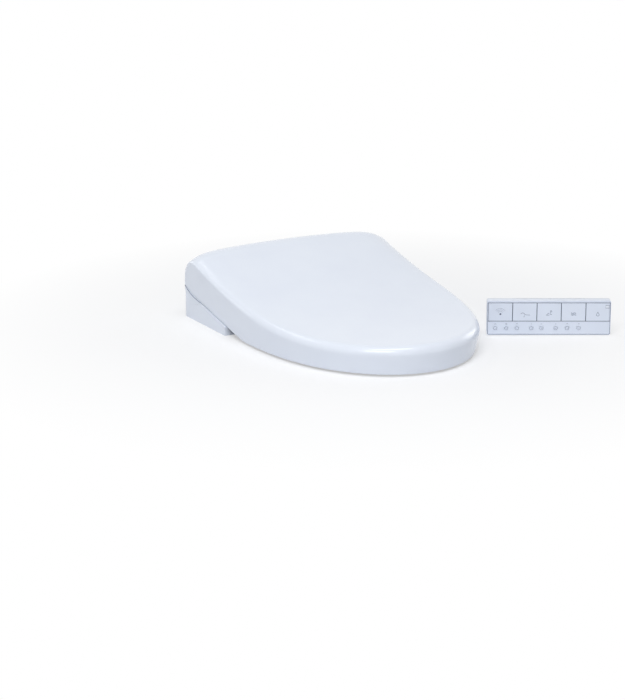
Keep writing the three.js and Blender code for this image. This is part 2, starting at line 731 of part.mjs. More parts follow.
function buildTray() {
  const plan = prismZ(basePlan(BASE_WALL + FIT), 0, TRAY_FLOOR);
  const channelHalf = PLATE_LENGTH / 2 + RUN;
  const channelFront = -PLATE_DEPTH / 2 - RUN;
  const riseHalf = channelHalf + CHANNEL_WALL;
  const rise = box(-riseHalf, riseHalf, channelFront - CHANNEL_WALL, REAR_Y - 6, 0, RAISED_FLOOR);
  const channel = box(-channelHalf, channelHalf, channelFront, REAR_Y + 30, -5, CHANNEL_TOP);
  const inlet = cylinder("z", [INLET_X, INLET_Y, 0], INLET_R + FIT, 30);
  const rails = box(
    BASE_HALF - FILTER_DEPTH - 4, BASE_HALF - 6, FILTER_Y - 16, FILTER_Y + 16,
    TRAY_FLOOR - 1, FILTER_LOW - FIT,
  );
  place("base_tray", cut(unite([plan, rise, rails]), [channel, inlet]), "satin_white");
}

// ---------------------------------------------------------------- toilet interface

function buildMounting() {
  const half = PLATE_LENGTH / 2;
  const plate = roundedRectangle(-half, half, -PLATE_DEPTH / 2, PLATE_DEPTH / 2, 6);
  const rails = both((side) => box(
    ...span(side, half - 5, half), -PLATE_DEPTH / 2 + 6, PLATE_DEPTH / 2 - 6, 1, CHANNEL_TOP - FIT,
  ));
  const slots = both((side) => {
    const x = (side * BOLT_SPACING) / 2;
    return prismZ(roundedRectangle(
      x - SLOT_WIDTH / 2, x + SLOT_WIDTH / 2, -SLOT_LENGTH / 2, SLOT_LENGTH / 2, SLOT_WIDTH / 2 - 0.01,
    ), -5, 20);
  });
  place("mount_plate", cut(unite([prismZ(plate, 0, PLATE_THICK), ...rails]), slots), "satin_white");
  for (const [side, word] of [[-1, "left"], [1, "right"]]) {
    const bolt = turned("z", [(side * BOLT_SPACING) / 2, 0, 0], [
      [0, 0.5], [4, 0.5], [4, PLATE_THICK], [11, PLATE_THICK], [11, 5.4], [8, 5.6], [6.8, 8.8], [0, 9.2],
    ], 20);
    place(`mount_bolt_${word}`, bolt, "steel");
  }
}

// ---------------------------------------------------------------- what the unit holds

function buildWaterParts() {
  const floor = TRAY_FLOOR + FIT;
  const [tankLeft, tankRight] = [TANK_X - TANK_WIDTH / 2, TANK_X + TANK_WIDTH / 2];
  const tank = unite([
    box(tankLeft, tankRight, TANK_Y - TANK_DEPTH / 2, TANK_Y + TANK_DEPTH / 2, floor, TANK_TOP),
    cylinder("z", [tankLeft + 16, TANK_Y, TANK_TOP + 2], 5, 8),
    cylinder("z", [tankRight - 18, TANK_Y, TANK_TOP + 2], 5, 8),
    box(tankLeft - 4, tankRight + 4, TANK_Y - 15, TANK_Y - 9, floor, floor + 4),
  ]);
  place("water_heater", tank, "inner_grey");
  const pumpZ = floor + PUMP_R;
  const pump = unite([
    cylinder("y", [PUMP_X, PUMP_Y, pumpZ], PUMP_R, PUMP_LENGTH),
    box(PUMP_X - 11, PUMP_X + 11, PUMP_Y - 18, PUMP_Y + 16, floor, floor + 6),
    cylinder("y", [PUMP_X, PUMP_Y + PUMP_LENGTH / 2 + 5, pumpZ], 4, 14),
  ]);
  place("water_pump", pump, "dark_plastic");
  const valvesLeft = VALVES_X - VALVES_WIDTH / 2;
  const [valvesFront, valvesRear] = [VALVES_Y - VALVES_DEPTH / 2, VALVES_Y + VALVES_DEPTH / 2];
  const valves = unite([
    box(valvesLeft, valvesLeft + VALVES_WIDTH, valvesFront, valvesRear, RAISED_FLOOR + FIT, VALVES_TOP),
    cylinder("z", [valvesLeft + 12, VALVES_Y + 1, VALVES_TOP + 3], 8, 12),
    cylinder("z", [valvesLeft + 32, VALVES_Y + 1, VALVES_TOP + 3], 8, 12),
    cylinder("x", [valvesLeft - 6, VALVES_Y + 5, VALVES_TOP - 7], 4, 14),
  ]);
  place("valve_block", valves, "inner_grey");
  const inlet = turned("z", [INLET_X, INLET_Y, 0], [
    [0, 0.4], [INLET_R - 1, 0.4], [INLET_R, 1.4], [INLET_R, floor], [INLET_R + 4, floor],
    [INLET_R + 4, floor + 3], [7, floor + 3], [7, 26], [0, 26],
  ]);
  const bore = cylinder("z", [INLET_X, INLET_Y, 0], 5, 30);
  place("water_inlet", inlet.subtract(bore), "brass");
}

function buildElectrics() {
  const low = RAISED_FLOOR + FIT;
  const [halfX, halfY] = [BOARD_WIDTH / 2, BOARD_DEPTH / 2];
  const posts = both((sideX) => unite(both((sideY) => {
    const x = BOARD_X + sideX * (halfX - 8);
    const y = BOARD_Y + sideY * (halfY - 8);
    return box(x - 4, x + 4, y - 4, y + 4, low, low + 4);
  })));
  const board = unite([
    box(BOARD_X - halfX, BOARD_X + halfX, BOARD_Y - halfY, BOARD_Y + halfY, low + 3, low + 4.6),
    ...posts,
    box(BOARD_X - 21, BOARD_X + 1, BOARD_Y - 17, BOARD_Y + 3, low + 4, low + 20),
    box(BOARD_X + 7, BOARD_X + 21, BOARD_Y - 9, BOARD_Y + 15, low + 4, low + 12),
  ]);
  place("control_board", board, "board_green");
  const rear = HINGE_Y + shoulder(CORD_X);
  const flange = rear - BASE_WALL - 2.6;
  const gland = turned("y", [CORD_X, 0, CORD_Z], [
    [0, flange - 4.8], [CORD_R + 3, flange - 4.8], [CORD_R + 3, flange], [CORD_R, flange],
    [CORD_R, rear + 1.6], [CORD_R - 2, rear + 3], [0, rear + 3],
  ]);
  const way = cylinder("y", [CORD_X, rear, CORD_Z], 4, 60, 16);
  place("cord_inlet", gland.subtract(way), "dark_plastic");
}

function buildDampers() {
  const seatX = ARM_X - ARM_SLOT - BASE_WALL - FIT;
  const damper = (x0, x1, hole) => cylinder("x", [(x0 + x1) / 2, HINGE_Y, HINGE_Z], DAMPER_R, x1 - x0)
    .subtract(cylinder("x", [(x0 + x1) / 2, HINGE_Y, HINGE_Z], hole + FIT, 80));
  place("seat_damper", damper(seatX - 26, seatX, SEAT_PIVOT_R), "dark_plastic");
  const lidX = ARM_X + ARM_SLOT + BASE_WALL + FIT;
  place("lid_damper", damper(-CHEEK_HALF + BASE_WALL + FIT, -lidX - 2, LID_PIVOT_R), "dark_plastic");
}

function buildAir() {
  const [x, y] = [FAN_X, FAN_Y];
  const low = TRAY_FLOOR + FIT;
  const outer = cylinder("z", [x, y, low + (FAN_DEPTH + 5) / 2], FAN_R + 2.4, FAN_DEPTH + 5, 36);
  const half = FLAP_WIDTH / 2;
  const snout = box(FLAP_X - half, FLAP_X + half, FRONT_Y + 22, y, FLAP_LOW - 2, low + FAN_DEPTH + 5);
  const inside = cylinder("z", [x, y, low + 2 + 20], FAN_R + 0.6, 40, 36);
  const throat = box(FLAP_X - half + 2, FLAP_X + half - 2, FRONT_Y + 10, y, FLAP_LOW, low + FAN_DEPTH + 3);
  const hub = cylinder("z", [x, y, low + 2], 3, 4);
  place("fan_housing", cut(outer.add(snout), [inside, throat]).add(hub.intersect(outer)), "dark_plastic");
  const blades = 14;
  const star = [];
  for (let i = 0; i < blades; i += 1) {
    const a = (2 * Math.PI * i) / blades;
    const wide = 0.05;
    for (const [r, t] of [[11, a - 0.12], [FAN_R - 2, a - wide], [FAN_R - 2, a + wide], [11, a + 0.12]]) {
      star.push([x + r * Math.cos(t), y + r * Math.sin(t)]);
    }
  }
  const wheel = prismZ(star, low + 4.6, low + FAN_DEPTH).subtract(cylinder("z", [x, y, low], 3.3, 12));
  place("fan_impeller", wheel, "inner_grey");
  const ductFront = FRONT_Y + BASE_WALL + FIT;
  const flapTop = FLAP_LOW + FLAP_HEIGHT;
  const ductRear = FRONT_Y + 22 - FIT;
  const duct = box(FLAP_X - half, FLAP_X + half, ductFront + 2, ductRear, FLAP_LOW - 2, flapTop + 2);
  const airWay = box(FLAP_X - half + 2, FLAP_X + half - 2, FRONT_Y, FRONT_Y + 40, FLAP_LOW, flapTop);
  const besideFan = cylinder("z", [x, y, low], FAN_R + 2.4 + FIT, 80, 36);
  place("dryer_duct", cut(duct, [airWay, besideFan]), "dark_plastic");
  const flap = unite([
    box(FLAP_X - half, FLAP_X + half, FRONT_Y, FRONT_Y + 2, FLAP_LOW, flapTop - 1.6),
    cylinder("x", [FLAP_X, FRONT_Y + 1.6, flapTop - 1.6], 1.6, FLAP_WIDTH, 16),
  ]);
  place("dryer_flap", flap, "gloss_white");
}

// ---------------------------------------------------------------- nozzle, in a frame that leans with it

const RACK_PITCH = Math.PI * 1.2;
const PINION_TEETH = 14;
const PITCH_R = (RACK_PITCH * PINION_TEETH) / (2 * Math.PI);
const RACK_LINE = 6.6;       // pitch line above the wand's axis
const PINION_AT = 62;        // distance of the pinion behind the front face

function rackProfile(from, to) {
  const points = [[from, 3]];
  for (let y = from + 1; y + RACK_PITCH < to; y += RACK_PITCH) {
    const phase = PINION_AT + RACK_PITCH / 2 + RACK_PITCH * Math.round((y - PINION_AT) / RACK_PITCH);
    points.push([phase - 0.8, RACK_LINE - 1.1], [phase - 0.4, RACK_LINE + 0.9]);
    points.push([phase + 0.4, RACK_LINE + 0.9], [phase + 0.8, RACK_LINE - 1.1]);
  }
  points.push([to, RACK_LINE - 1.1], [to, 3]);
  return points.reverse();
}

function buildNozzle() {
  const lean = new THREE.Group();
  lean.position.set(0, FRONT_Y, NOZZLE_TIP_Z);
  lean.rotation.x = NOZZLE_ANGLE;
  object.add(lean);
  const capHalf = CAP_SIZE / 2;
  const cap = box(-capHalf, capHalf, 0, CAP_THICK, -capHalf, capHalf);
  place("nozzle_cap", cap, "gloss_white", lean);
  const tipStart = CAP_THICK + FIT;
  const tipEnd = tipStart + NOZZLE_TIP_LENGTH;
  const tip = cylinder("y", [0, (tipStart + tipEnd) / 2, 0], NOZZLE_R, NOZZLE_TIP_LENGTH, 32)
    .subtract(box(-20, 20, 0, 60, 5.4, 20));
  const jets = [9, 14, 19].map((y) => cylinder("z", [0, y, 5], 1.1, 4, 10));
  place("nozzle_tip", cut(tip, jets), "gloss_white", lean);
  const wandStart = tipEnd + FIT;
  const flat = RACK_LINE - 1.1;
  const rod = cylinder("y", [0, (wandStart + NOZZLE_LENGTH) / 2, 0], NOZZLE_R, NOZZLE_LENGTH - wandStart, 32)
    .subtract(box(-20, 20, wandStart - 5, NOZZLE_LENGTH + 5, flat, 20));
  const rack = prismX(rackProfile(wandStart + 8, NOZZLE_LENGTH - 2), -3, 3);
  place("nozzle_wand", rod.add(rack), "satin_white", lean);
  const guide = unite([
    box(-13, 13, 12, NOZZLE_LENGTH - 6, -12, 3.5),
    box(-11, 11, 16, 26, -19, -8),
    box(-11, 11, 104, 114, -23, -8),
  ]).subtract(cylinder("y", [0, 70, 0], NOZZLE_R + FIT + 0.1, 200, 32));
  place("nozzle_guide", guide, "inner_grey", lean);
  const axisZ = RACK_LINE + PITCH_R;
  const teeth = [];
  for (let i = 0; i < PINION_TEETH; i += 1) {
    const a = -Math.PI / 2 + (2 * Math.PI * i) / PINION_TEETH;
    for (const [out, w] of [[-1.1, -0.75], [0.9, -0.4], [0.9, 0.4], [-1.1, 0.75]]) {
      const r = PITCH_R + out;
      const t = a + w / r;
      teeth.push([PINION_AT + r * Math.cos(t), axisZ + r * Math.sin(t)]);
    }
  }
  const shaft = 1.9;
  const pinion = prismX(teeth, -2.6, 2.6).subtract(cylinder("x", [0, PINION_AT, axisZ], shaft + FIT, 20, 16));
  place("nozzle_pinion", pinion, "steel", lean);
  const motor = unite([
    cylinder("x", [20, PINION_AT, axisZ], 10.5, 22, 28),
    cylinder("x", [4, PINION_AT, axisZ], shaft, 14, 16),
    box(13.3, 20, PINION_AT - 12, PINION_AT + 12, -6, axisZ),
  ]);
  place("nozzle_motor", motor, "dark_plastic", lean);
}

// ---------------------------------------------------------------- right side panel

function buildSideControls() {
  const filter = box(
    BASE_HALF - FILTER_DEPTH, BASE_HALF - FIT, FILTER_Y - FILTER_LENGTH / 2, FILTER_Y + FILTER_LENGTH / 2,
    FILTER_LOW, FILTER_LOW + FILTER_HEIGHT,
  );
  const gripLow = FILTER_LOW + 12;
  const grip = box(BASE_HALF - 3, BASE_HALF + 3, FILTER_Y - 12, FILTER_Y + 12, gripLow, gripLow + 4);
  place("deodorizer_filter", filter.subtract(grip), "gloss_white");
  const outer = BASE_HALF + BUTTON_PROUD;
  const release = unite([
    box(BASE_HALF - 5, outer, RELEASE_Y - 8, RELEASE_Y + 8, SIDE_BUTTON_Z - 5, SIDE_BUTTON_Z + 5),
    box(BASE_HALF - 16, BASE_HALF - 4, RELEASE_Y - 3, RELEASE_Y + 3, SIDE_BUTTON_Z - 3, SIDE_BUTTON_Z + 3),
  ]);
  place("release_button", release, "satin_white");
  const power = unite([
    cylinder("x", [(outer + BASE_HALF - 5) / 2, POWER_Y, SIDE_BUTTON_Z], 6, outer - BASE_HALF + 5),
    cylinder("x", [BASE_HALF - 9, POWER_Y, SIDE_BUTTON_Z], 2.5, 10, 16),
  ]);
  place("power_button", power, "satin_white");
}

// ---------------------------------------------------------------- remote, in a frame of its own

const REMOTE_FRONT = -REMOTE_DEPTH / 2;
const CASE_SPLIT = REMOTE_FRONT + REMOTE_SPLIT;
const STRIP = 0.07;          // share of the height above the large buttons
const DIVIDERS = [0, 0.205, 0.402, 0.599, 0.797, 1];

function largeButton(i) {
  const left = -REMOTE_WIDTH / 2 + DIVIDERS[i] * REMOTE_WIDTH;
  const right = -REMOTE_WIDTH / 2 + DIVIDERS[i + 1] * REMOTE_WIDTH;
  const top = REMOTE_LIFT + REMOTE_HEIGHT * (1 - STRIP);
  const edge = (at) => (at === 0 || at === LARGE_BUTTONS ? 2.4 : 0.6);
  return [left + edge(i), right - edge(i + 1), top - LARGE_BUTTON_HEIGHT, top];
}

function smallButton(i) {
  return [-REMOTE_WIDTH / 2 + SMALL_BUTTON_PLACES[i] * REMOTE_WIDTH, REMOTE_LIFT + 12];
}

function casePrism(y0, y1, inset) {
  const half = REMOTE_WIDTH / 2 - inset;
  const top = REMOTE_LIFT + REMOTE_HEIGHT - inset;
  const points = roundedRectangle(-half, half, REMOTE_LIFT + inset, top, Math.max(1, 3 - inset), 3);
  const g = new THREE.ExtrudeGeometry(shapeOf(points), { depth: y1 - y0, bevelEnabled: false });
  g.applyMatrix4(new THREE.Matrix4().set(1, 0, 0, 0, 0, 0, -1, y1, 0, 1, 0, 0, 0, 0, 0, 1));
  return solid(g);
}

function buildRemote() {
  const stand = new THREE.Group();
  stand.position.set(REMOTE_X, REMOTE_Y, 0);
  stand.rotation.z = THREE.MathUtils.degToRad(REMOTE_YAW);
  object.add(stand);
  const front = REMOTE_FRONT;
  const rear = REMOTE_DEPTH / 2;
  const windows = [];
  for (let i = 0; i < LARGE_BUTTONS; i += 1) {
    const [x0, x1, z0, z1] = largeButton(i);
    windows.push(box(x0 - FIT, x1 + FIT, front - 5, front + 5, z0 - FIT, z1 + FIT));
    const key = box(x0, x1, front - BUTTON_PROUD, front + KEY_DEPTH, z0, z1);
    place(`wash_key_${i + 1}`, key, "key_white", stand);
  }
  SMALL_BUTTON_PLACES.forEach((share, i) => {
    const [x, z] = smallButton(i);
    windows.push(cylinder("y", [x, front, z], SMALL_BUTTON_R + FIT, 10, 16));
    const long = KEY_DEPTH + BUTTON_PROUD;
    const key = cylinder("y", [x, front + (KEY_DEPTH - BUTTON_PROUD) / 2, z], SMALL_BUTTON_R, long, 16);
    place(`small_key_${i + 1}`, key, "key_white", stand);
  });
  const face = casePrism(front, CASE_SPLIT - FIT / 2, 0)
    .subtract(casePrism(front + REMOTE_WALL, CASE_SPLIT + 5, REMOTE_WALL));
  place("remote_front", cut(face, windows), "key_white", stand);
  const boardY = front + KEY_DEPTH + 1.1;
  place("remote_board", casePrism(boardY, boardY + 1.6, REMOTE_WALL + FIT), "board_green", stand);
  const [doorLow, doorHigh] = [REMOTE_LIFT + 12, REMOTE_LIFT + REMOTE_HEIGHT];
  const hookSlots = both((side) => box(
    side * HOOK_X - HOOK_HALF - RUN, side * HOOK_X + HOOK_HALF + RUN, rear - REMOTE_WALL - 2, rear + 5,
    HOOK_Z - HOOK_LIP - 2, HOOK_Z + HOOK_THICK + FIT,
  ));
  const back = cut(casePrism(CASE_SPLIT + FIT / 2, rear, 0), [
    casePrism(CASE_SPLIT - 5, rear - REMOTE_WALL, REMOTE_WALL),
    box(-DOOR_HALF - FIT, DOOR_HALF + FIT, rear - REMOTE_WALL - 2, rear + 5, doorLow, doorHigh + 5),
    ...hookSlots,
  ]);
  place("remote_back", back, "satin_white", stand);
  const door = box(-DOOR_HALF, DOOR_HALF, rear - REMOTE_WALL, rear, doorLow + FIT, doorHigh);
  place("battery_cover", door.intersect(casePrism(CASE_SPLIT, rear, 0)), "satin_white", stand);
  [-1, 1].forEach((side) => {
    const cell = turned("x", [side * 27, (CASE_SPLIT + rear - REMOTE_WALL) / 2 - 0.4, doorLow + 18], [
      [0, -24], [5, -24], [5, 22], [2, 22], [2, 24], [0, 24],
    ].map(([r, h]) => [r * 0.62, h]), 20);
    place(`remote_cell_${side < 0 ? 1 : 2}`, cell, "steel", stand);
  });
  const plateFront = rear + FIT;
  const plateRear = plateFront + BRACKET_THICK;
  const plate = box(-BRACKET_HALF, BRACKET_HALF, plateFront, plateRear, 0, BRACKET_TOP);
  const foot = box(-BRACKET_HALF, BRACKET_HALF, plateFront, plateRear + STAND_DEPTH, 0, 4);
  const hooks = both((side) => {
    const [x0, x1] = [side * HOOK_X - HOOK_HALF, side * HOOK_X + HOOK_HALF];
    const inside = rear - REMOTE_WALL;
    const peg = box(x0, x1, inside - 1.9, plateFront + 1, HOOK_Z, HOOK_Z + HOOK_THICK);
    return peg.add(box(x0, x1, inside - 1.9, inside - FIT, HOOK_Z, HOOK_Z + HOOK_THICK + HOOK_LIP));
  });
  const screwHoles = [-30, 30].map((x) => cylinder("y", [x, rear, HOOK_Z], 2.2, 60, 16));
  place("remote_bracket", cut(unite([plate, foot, ...hooks]), screwHoles), "satin_white", stand);
}

buildLid();
buildSeat();
buildCover();
buildTray();
buildMounting();
buildWaterParts();
buildElectrics();
buildDampers();
buildAir();
buildNozzle();
buildSideControls();
buildRemote();

export default object;
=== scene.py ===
# %% [markdown]
# # An electric bidet seat
# The seat is a wash unit that bolts to the rim of a toilet bowl, with a heated seat ring and a lid that
# turn about one hinge line at its rear, and a remote control in a small bracket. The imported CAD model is
# the fixed frame: it gives every size and place. This script makes the fine surfaces, the finishes, the
# light and the camera around it.

# %% Load the frame
import json
from math import atan, copysign, cos, hypot, pi, radians, sin

import bmesh
import bpy
import numpy as np
from mathutils import Matrix, Vector
from mathutils.bvhtree import BVHTree


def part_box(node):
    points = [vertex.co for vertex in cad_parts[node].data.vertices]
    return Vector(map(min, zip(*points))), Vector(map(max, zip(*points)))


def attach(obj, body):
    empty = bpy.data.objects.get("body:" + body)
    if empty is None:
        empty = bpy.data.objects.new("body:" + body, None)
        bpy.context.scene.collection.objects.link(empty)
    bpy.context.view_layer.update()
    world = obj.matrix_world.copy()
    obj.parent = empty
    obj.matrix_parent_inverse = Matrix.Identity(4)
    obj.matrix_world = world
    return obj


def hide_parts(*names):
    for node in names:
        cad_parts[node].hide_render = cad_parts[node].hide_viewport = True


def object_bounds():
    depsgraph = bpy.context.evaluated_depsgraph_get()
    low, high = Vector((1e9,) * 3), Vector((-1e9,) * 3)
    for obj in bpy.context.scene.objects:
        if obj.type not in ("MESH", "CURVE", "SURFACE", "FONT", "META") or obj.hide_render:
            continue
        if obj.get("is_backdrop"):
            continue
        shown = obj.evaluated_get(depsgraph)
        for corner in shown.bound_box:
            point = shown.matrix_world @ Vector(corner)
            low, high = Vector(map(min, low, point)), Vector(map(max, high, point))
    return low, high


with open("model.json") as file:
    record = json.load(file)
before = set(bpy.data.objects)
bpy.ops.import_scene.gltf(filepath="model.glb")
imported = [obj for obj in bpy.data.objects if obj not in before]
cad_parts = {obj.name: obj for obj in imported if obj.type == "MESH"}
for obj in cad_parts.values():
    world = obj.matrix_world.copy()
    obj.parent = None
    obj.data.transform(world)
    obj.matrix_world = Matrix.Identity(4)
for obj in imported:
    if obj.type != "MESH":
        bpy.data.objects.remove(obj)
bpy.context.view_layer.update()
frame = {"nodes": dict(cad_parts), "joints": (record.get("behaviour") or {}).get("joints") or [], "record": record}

nodes, record = frame["nodes"], frame["record"]
body_of_node = {n: b for b, names in record["behaviour"]["bodies"].items() for n in names}
slot_of_node = {row["node"]: row["material_slot"] for row in record["subparts"]}
joints = {joint["name"]: joint for joint in frame["joints"]}

# %% [markdown]
# ## Numbers that the whole script shares
# Blender works in metres, and small parts are easier to read in millimetres, so `mm` turns one into the
# other. The lid's outline is half a superellipse with straight sides behind it. SHOULDER is the radius of
# the roll about the hinge line at its rear end, the crest is its upper edge line, and the crown and the
# arch stand above that.

# %% Shared sizes
def mm(value):
    return value / 1000


lid_low, lid_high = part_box("lid_shell")
HALF_WIDTH = lid_high.x
TIP_Y = lid_low.y
LID_BOTTOM = lid_low.z
HINGE_Y, HINGE_Z = joints["seat_hinge"]["pos_m"][1:]
SHOULDER = mm(37.5)
CROWN_FRONT, CROWN_REAR = mm(3), mm(7)
ARCH_REAR, ARCH_POWER = mm(10.5), 11
CREST_FRONT, CREST_START = mm(48.1), TIP_Y + mm(50)
WIDEST_Y = TIP_Y + mm(312.4)
FRONT_POWER = 2.4
DRAFT, WALL, LIP = mm(6.3), mm(3), mm(0.9)
EAR_INNER = HALF_WIDTH - mm(5.5)
FILLET_FRONT, FILLET_REAR = mm(14), mm(5)
WRAP_END, EAR_END = radians(24), radians(107.5)
UNIT_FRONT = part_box("base_cover")[0].y
REAR_Y = HINGE_Y + SHOULDER
print("half width", round(HALF_WIDTH, 4), "tip", round(TIP_Y, 4), "hinge", HINGE_Y, HINGE_Z)

# %% [markdown]
# ## Colour and the one function that adds a node
# A colour is easiest to choose as the hex value that a screen shows, but shaders reckon in linear light, so
# one function turns the first into the second. Another adds a node to any tree, sets its values and joins
# its links, so that each material reads as a short list of nodes.

# %% Colour and nodes
def linear(text):
    """The linear colour of an sRGB hex value such as "e4ebf4"."""
    shares = [int(text[i:i + 2], 16) / 255 for i in (0, 2, 4)]
    return [s / 12.92 if s <= 0.04045 else ((s + 0.055) / 1.055) ** 2.4 for s in shares] + [1.0]


def add(tree, kind, settings=None, links=None):
    """A new node. Settings are properties or input values. Links say what feeds an input: a socket, or a node
    for its first output."""
    node = tree.nodes.new(kind)
    for key, value in (settings or {}).items():
        if isinstance(key, str) and hasattr(node, key):
            setattr(node, key, value)
        else:
            node.inputs[key].default_value = value
    for key, source in (links or {}).items():
        socket = source.outputs[0] if isinstance(source, bpy.types.Node) else source
        tree.links.new(socket, node.inputs[key])
    return node


def new_material(name):
    """An empty node material, its tree, and the piece's own coordinates in it."""
    material = bpy.data.materials.new(name)
    material.use_nodes = True
    tree = material.node_tree
    tree.nodes.clear()
    return material, tree, add(tree, "ShaderNodeTexCoord").outputs["Object"]


print("white in linear light", [round(c, 3) for c in linear("e4ebf4")])

# %% [markdown]
# ## Moulded plastic
# The lid, the seat and the unit's cover are injection-moulded polypropylene with a polished tool: a clear
# gloss over a surface that swells by a few hundredths of a millimetre over some centimetres, which bends
# reflections a little. The inner and lower pieces come from a spark-eroded tool, whose fine pits break the
# gloss. Both are one shader with different numbers, so one function makes them. The pits are really about
# 0.15 mm and are drawn at 0.5 mm, because the true size is too fine to show.

# %% Plastics
SWELL_MM, CLOUD_MM = 55, 90
MIDDLE_OF_NOISE = {"From Min": 0.3, "From Max": 0.7}


def plastic(name, colour, shade, roughness, grain_size, grain_depth, swell_depth):
    """A moulded plastic: shade is the darker tone of its uneven places, and sizes are in millimetres."""
    material, tree, place = new_material(name)
    swell, grain, cloud = (
        add(tree, "ShaderNodeTexNoise", {"Scale": 1 / mm(size), "Detail": detail, "Roughness": fineness},
            {"Vector": place})
        for size, detail, fineness in ((SWELL_MM, 1.0, 0.4), (grain_size, 2.0, 0.5), (CLOUD_MM, 3.0, 0.55)))
    tone = add(tree, "ShaderNodeMapRange", MIDDLE_OF_NOISE, {"Value": cloud})
    mix = add(tree, "ShaderNodeMix", {"data_type": "RGBA", 6: linear(colour), 7: linear(shade)}, {0: tone})
    rough = add(tree, "ShaderNodeMapRange",
                {**MIDDLE_OF_NOISE, "To Min": roughness * 0.85, "To Max": roughness * 1.15}, {"Value": grain})
    wide = add(tree, "ShaderNodeBump", {"Strength": 1.0, "Distance": mm(swell_depth)}, {"Height": swell})
    fine = add(tree, "ShaderNodeBump", {"Strength": 1.0, "Distance": mm(grain_depth)},
               {"Height": grain, "Normal": wide})
    shader = add(tree, "ShaderNodeBsdfPrincipled", {"IOR": 1.49},
                 {"Base Color": mix.outputs[2], "Roughness": rough, "Normal": fine})
    add(tree, "ShaderNodeOutputMaterial", {}, {"Surface": shader})
    return material


finish = {
    "gloss_white": plastic("polished_polypropylene", "e6ecf6", "e3e9f4", 0.2, 3, 0.002, 0.08),
    "satin_white": plastic("satin_polypropylene", "dfe4ec", "d8dde6", 0.42, 0.5, 0.03, 0.05),
    "inner_grey": plastic("grey_polypropylene", "b9bec6", "b0b5be", 0.5, 0.5, 0.04, 0.05),
    "dark_plastic": plastic("dark_nylon", "3b3f45", "33373d", 0.5, 0.5, 0.05, 0.05),
    "key_white": plastic("satin_abs_remote", "e2e9f6", "dde5f3", 0.33, 0.5, 0.012, 0.03),
    "rubber": plastic("elastomer", "c9cdd2", "bfc4ca", 0.75, 0.7, 0.06, 0.05),
    # Grey ink prints the signs. The same grey also serves as painted shade under the ears and along the remote's
    # rim.
    "ink": plastic("printed_grey_ink", "66708a", "606a84", 0.5, 0.4, 0.01, 0.01),
    # Painted shade for the joints round the remote's large keys, where little light gets in.
    "joint_film": plastic("dark_blue_grey_film", "3f4a63", "3a455e", 0.5, 0.4, 0.01, 0.01),
}
print("plastics", sorted(finish))

# %% [markdown]
# ## Metals and the boards
# The seat's hinge pins, the bolts and the pinion are turned stainless steel: a light grey metal whose
# cutting marks break its gloss into fine bands. A lathe leaves them as rings round the piece, typically
# about 0.2 mm apart. Here they are drawn coarser, as slanted bands about 1.2 mm apart. The remote's two
# cells have this finish too, though a real cell has a smooth sleeve. The inlet is turned brass, the same
# surface in a yellower alloy. The circuit boards have a green solder mask, a thin lacquer in which copper
# tracks show as slightly lighter lines.

# %% Metals and boards
def turned_metal(name, colour, roughness):
    """A turned metal: slanted bands of cutting marks."""
    material, tree, place = new_material(name)
    marks = add(tree, "ShaderNodeTexWave",
                {"wave_type": "BANDS", "bands_direction": "DIAGONAL", "Scale": 1 / mm(3.2), "Distortion": 1.5,
                 "Detail": 2.0}, {"Vector": place}).outputs["Fac"]
    rough = add(tree, "ShaderNodeMapRange", {"To Min": roughness * 0.8, "To Max": roughness * 1.25},
                {"Value": marks})
    bump = add(tree, "ShaderNodeBump", {"Strength": 0.4, "Distance": mm(0.02)}, {"Height": marks})
    shader = add(tree, "ShaderNodeBsdfPrincipled", {"Base Color": linear(colour), "Metallic": 1.0},
                 {"Roughness": rough, "Normal": bump})
    add(tree, "ShaderNodeOutputMaterial", {}, {"Surface": shader})
    return material


def solder_mask(name):
    """A green circuit board with faint tracks."""
    material, tree, place = new_material(name)
    tracks = add(tree, "ShaderNodeTexBrick",
                 {"Scale": 1 / mm(22), "Mortar Size": 0.03, "Color1": linear("2a6a45"),
                  "Color2": linear("2f7049"), "Mortar": linear("4b8a63")}, {"Vector": place})
    bump = add(tree, "ShaderNodeBump", {"Strength": 0.5, "Distance": mm(0.05)},
               {"Height": tracks.outputs["Fac"]})
    shader = add(tree, "ShaderNodeBsdfPrincipled", {"Roughness": 0.35}, {"Base Color": tracks, "Normal": bump})
    add(tree, "ShaderNodeOutputMaterial", {}, {"Surface": shader})
    return material


finish["steel"] = turned_metal("turned_stainless_steel", "b8bcc0", 0.3)
finish["brass"] = turned_metal("turned_brass", "b9975a", 0.34)
finish["board_green"] = solder_mask("solder_mask")
print("finishes", len(finish))

# %% [markdown]
# ## Making a mesh into a piece
# Every piece is made the same way at the end: its mesh gets its finish, smooth shading that breaks at real
# edges, and its place on the CAD body that carries it. The mesh holds the place, and the object stays at
# the origin.

# %% Piece helpers
EDGE_ANGLE = radians(32)
MERGE, SLIVER = mm(0.004), mm(0.001)


def in_scene(name, data):
    """A new object with this mesh or other data, linked to the scene."""
    obj = bpy.data.objects.new(name, data)
    bpy.context.scene.collection.objects.link(obj)
    return obj


def dressed(name, mesh, finish_name):
    """The mesh as an object with one finish, smooth except at its real edges."""
    mesh.materials.clear()
    mesh.materials.append(finish[finish_name])
    mesh.shade_smooth()
    mesh.set_sharp_from_angle(angle=EDGE_ANGLE)
    return in_scene(name, mesh)


def piece(name, mesh, node):
    """The mesh as a finished piece that stands for a CAD node."""
    obj = dressed(name, mesh, slot_of_node[node])
    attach(obj, body_of_node[node])
    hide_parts(node)
    return obj


def rider(name, mesh, node, finish_name=None):
    """The mesh as an extra piece that rides with a CAD node's body."""
    obj = dressed(name, mesh, finish_name or slot_of_node[node])
    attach(obj, body_of_node[node])
    return obj


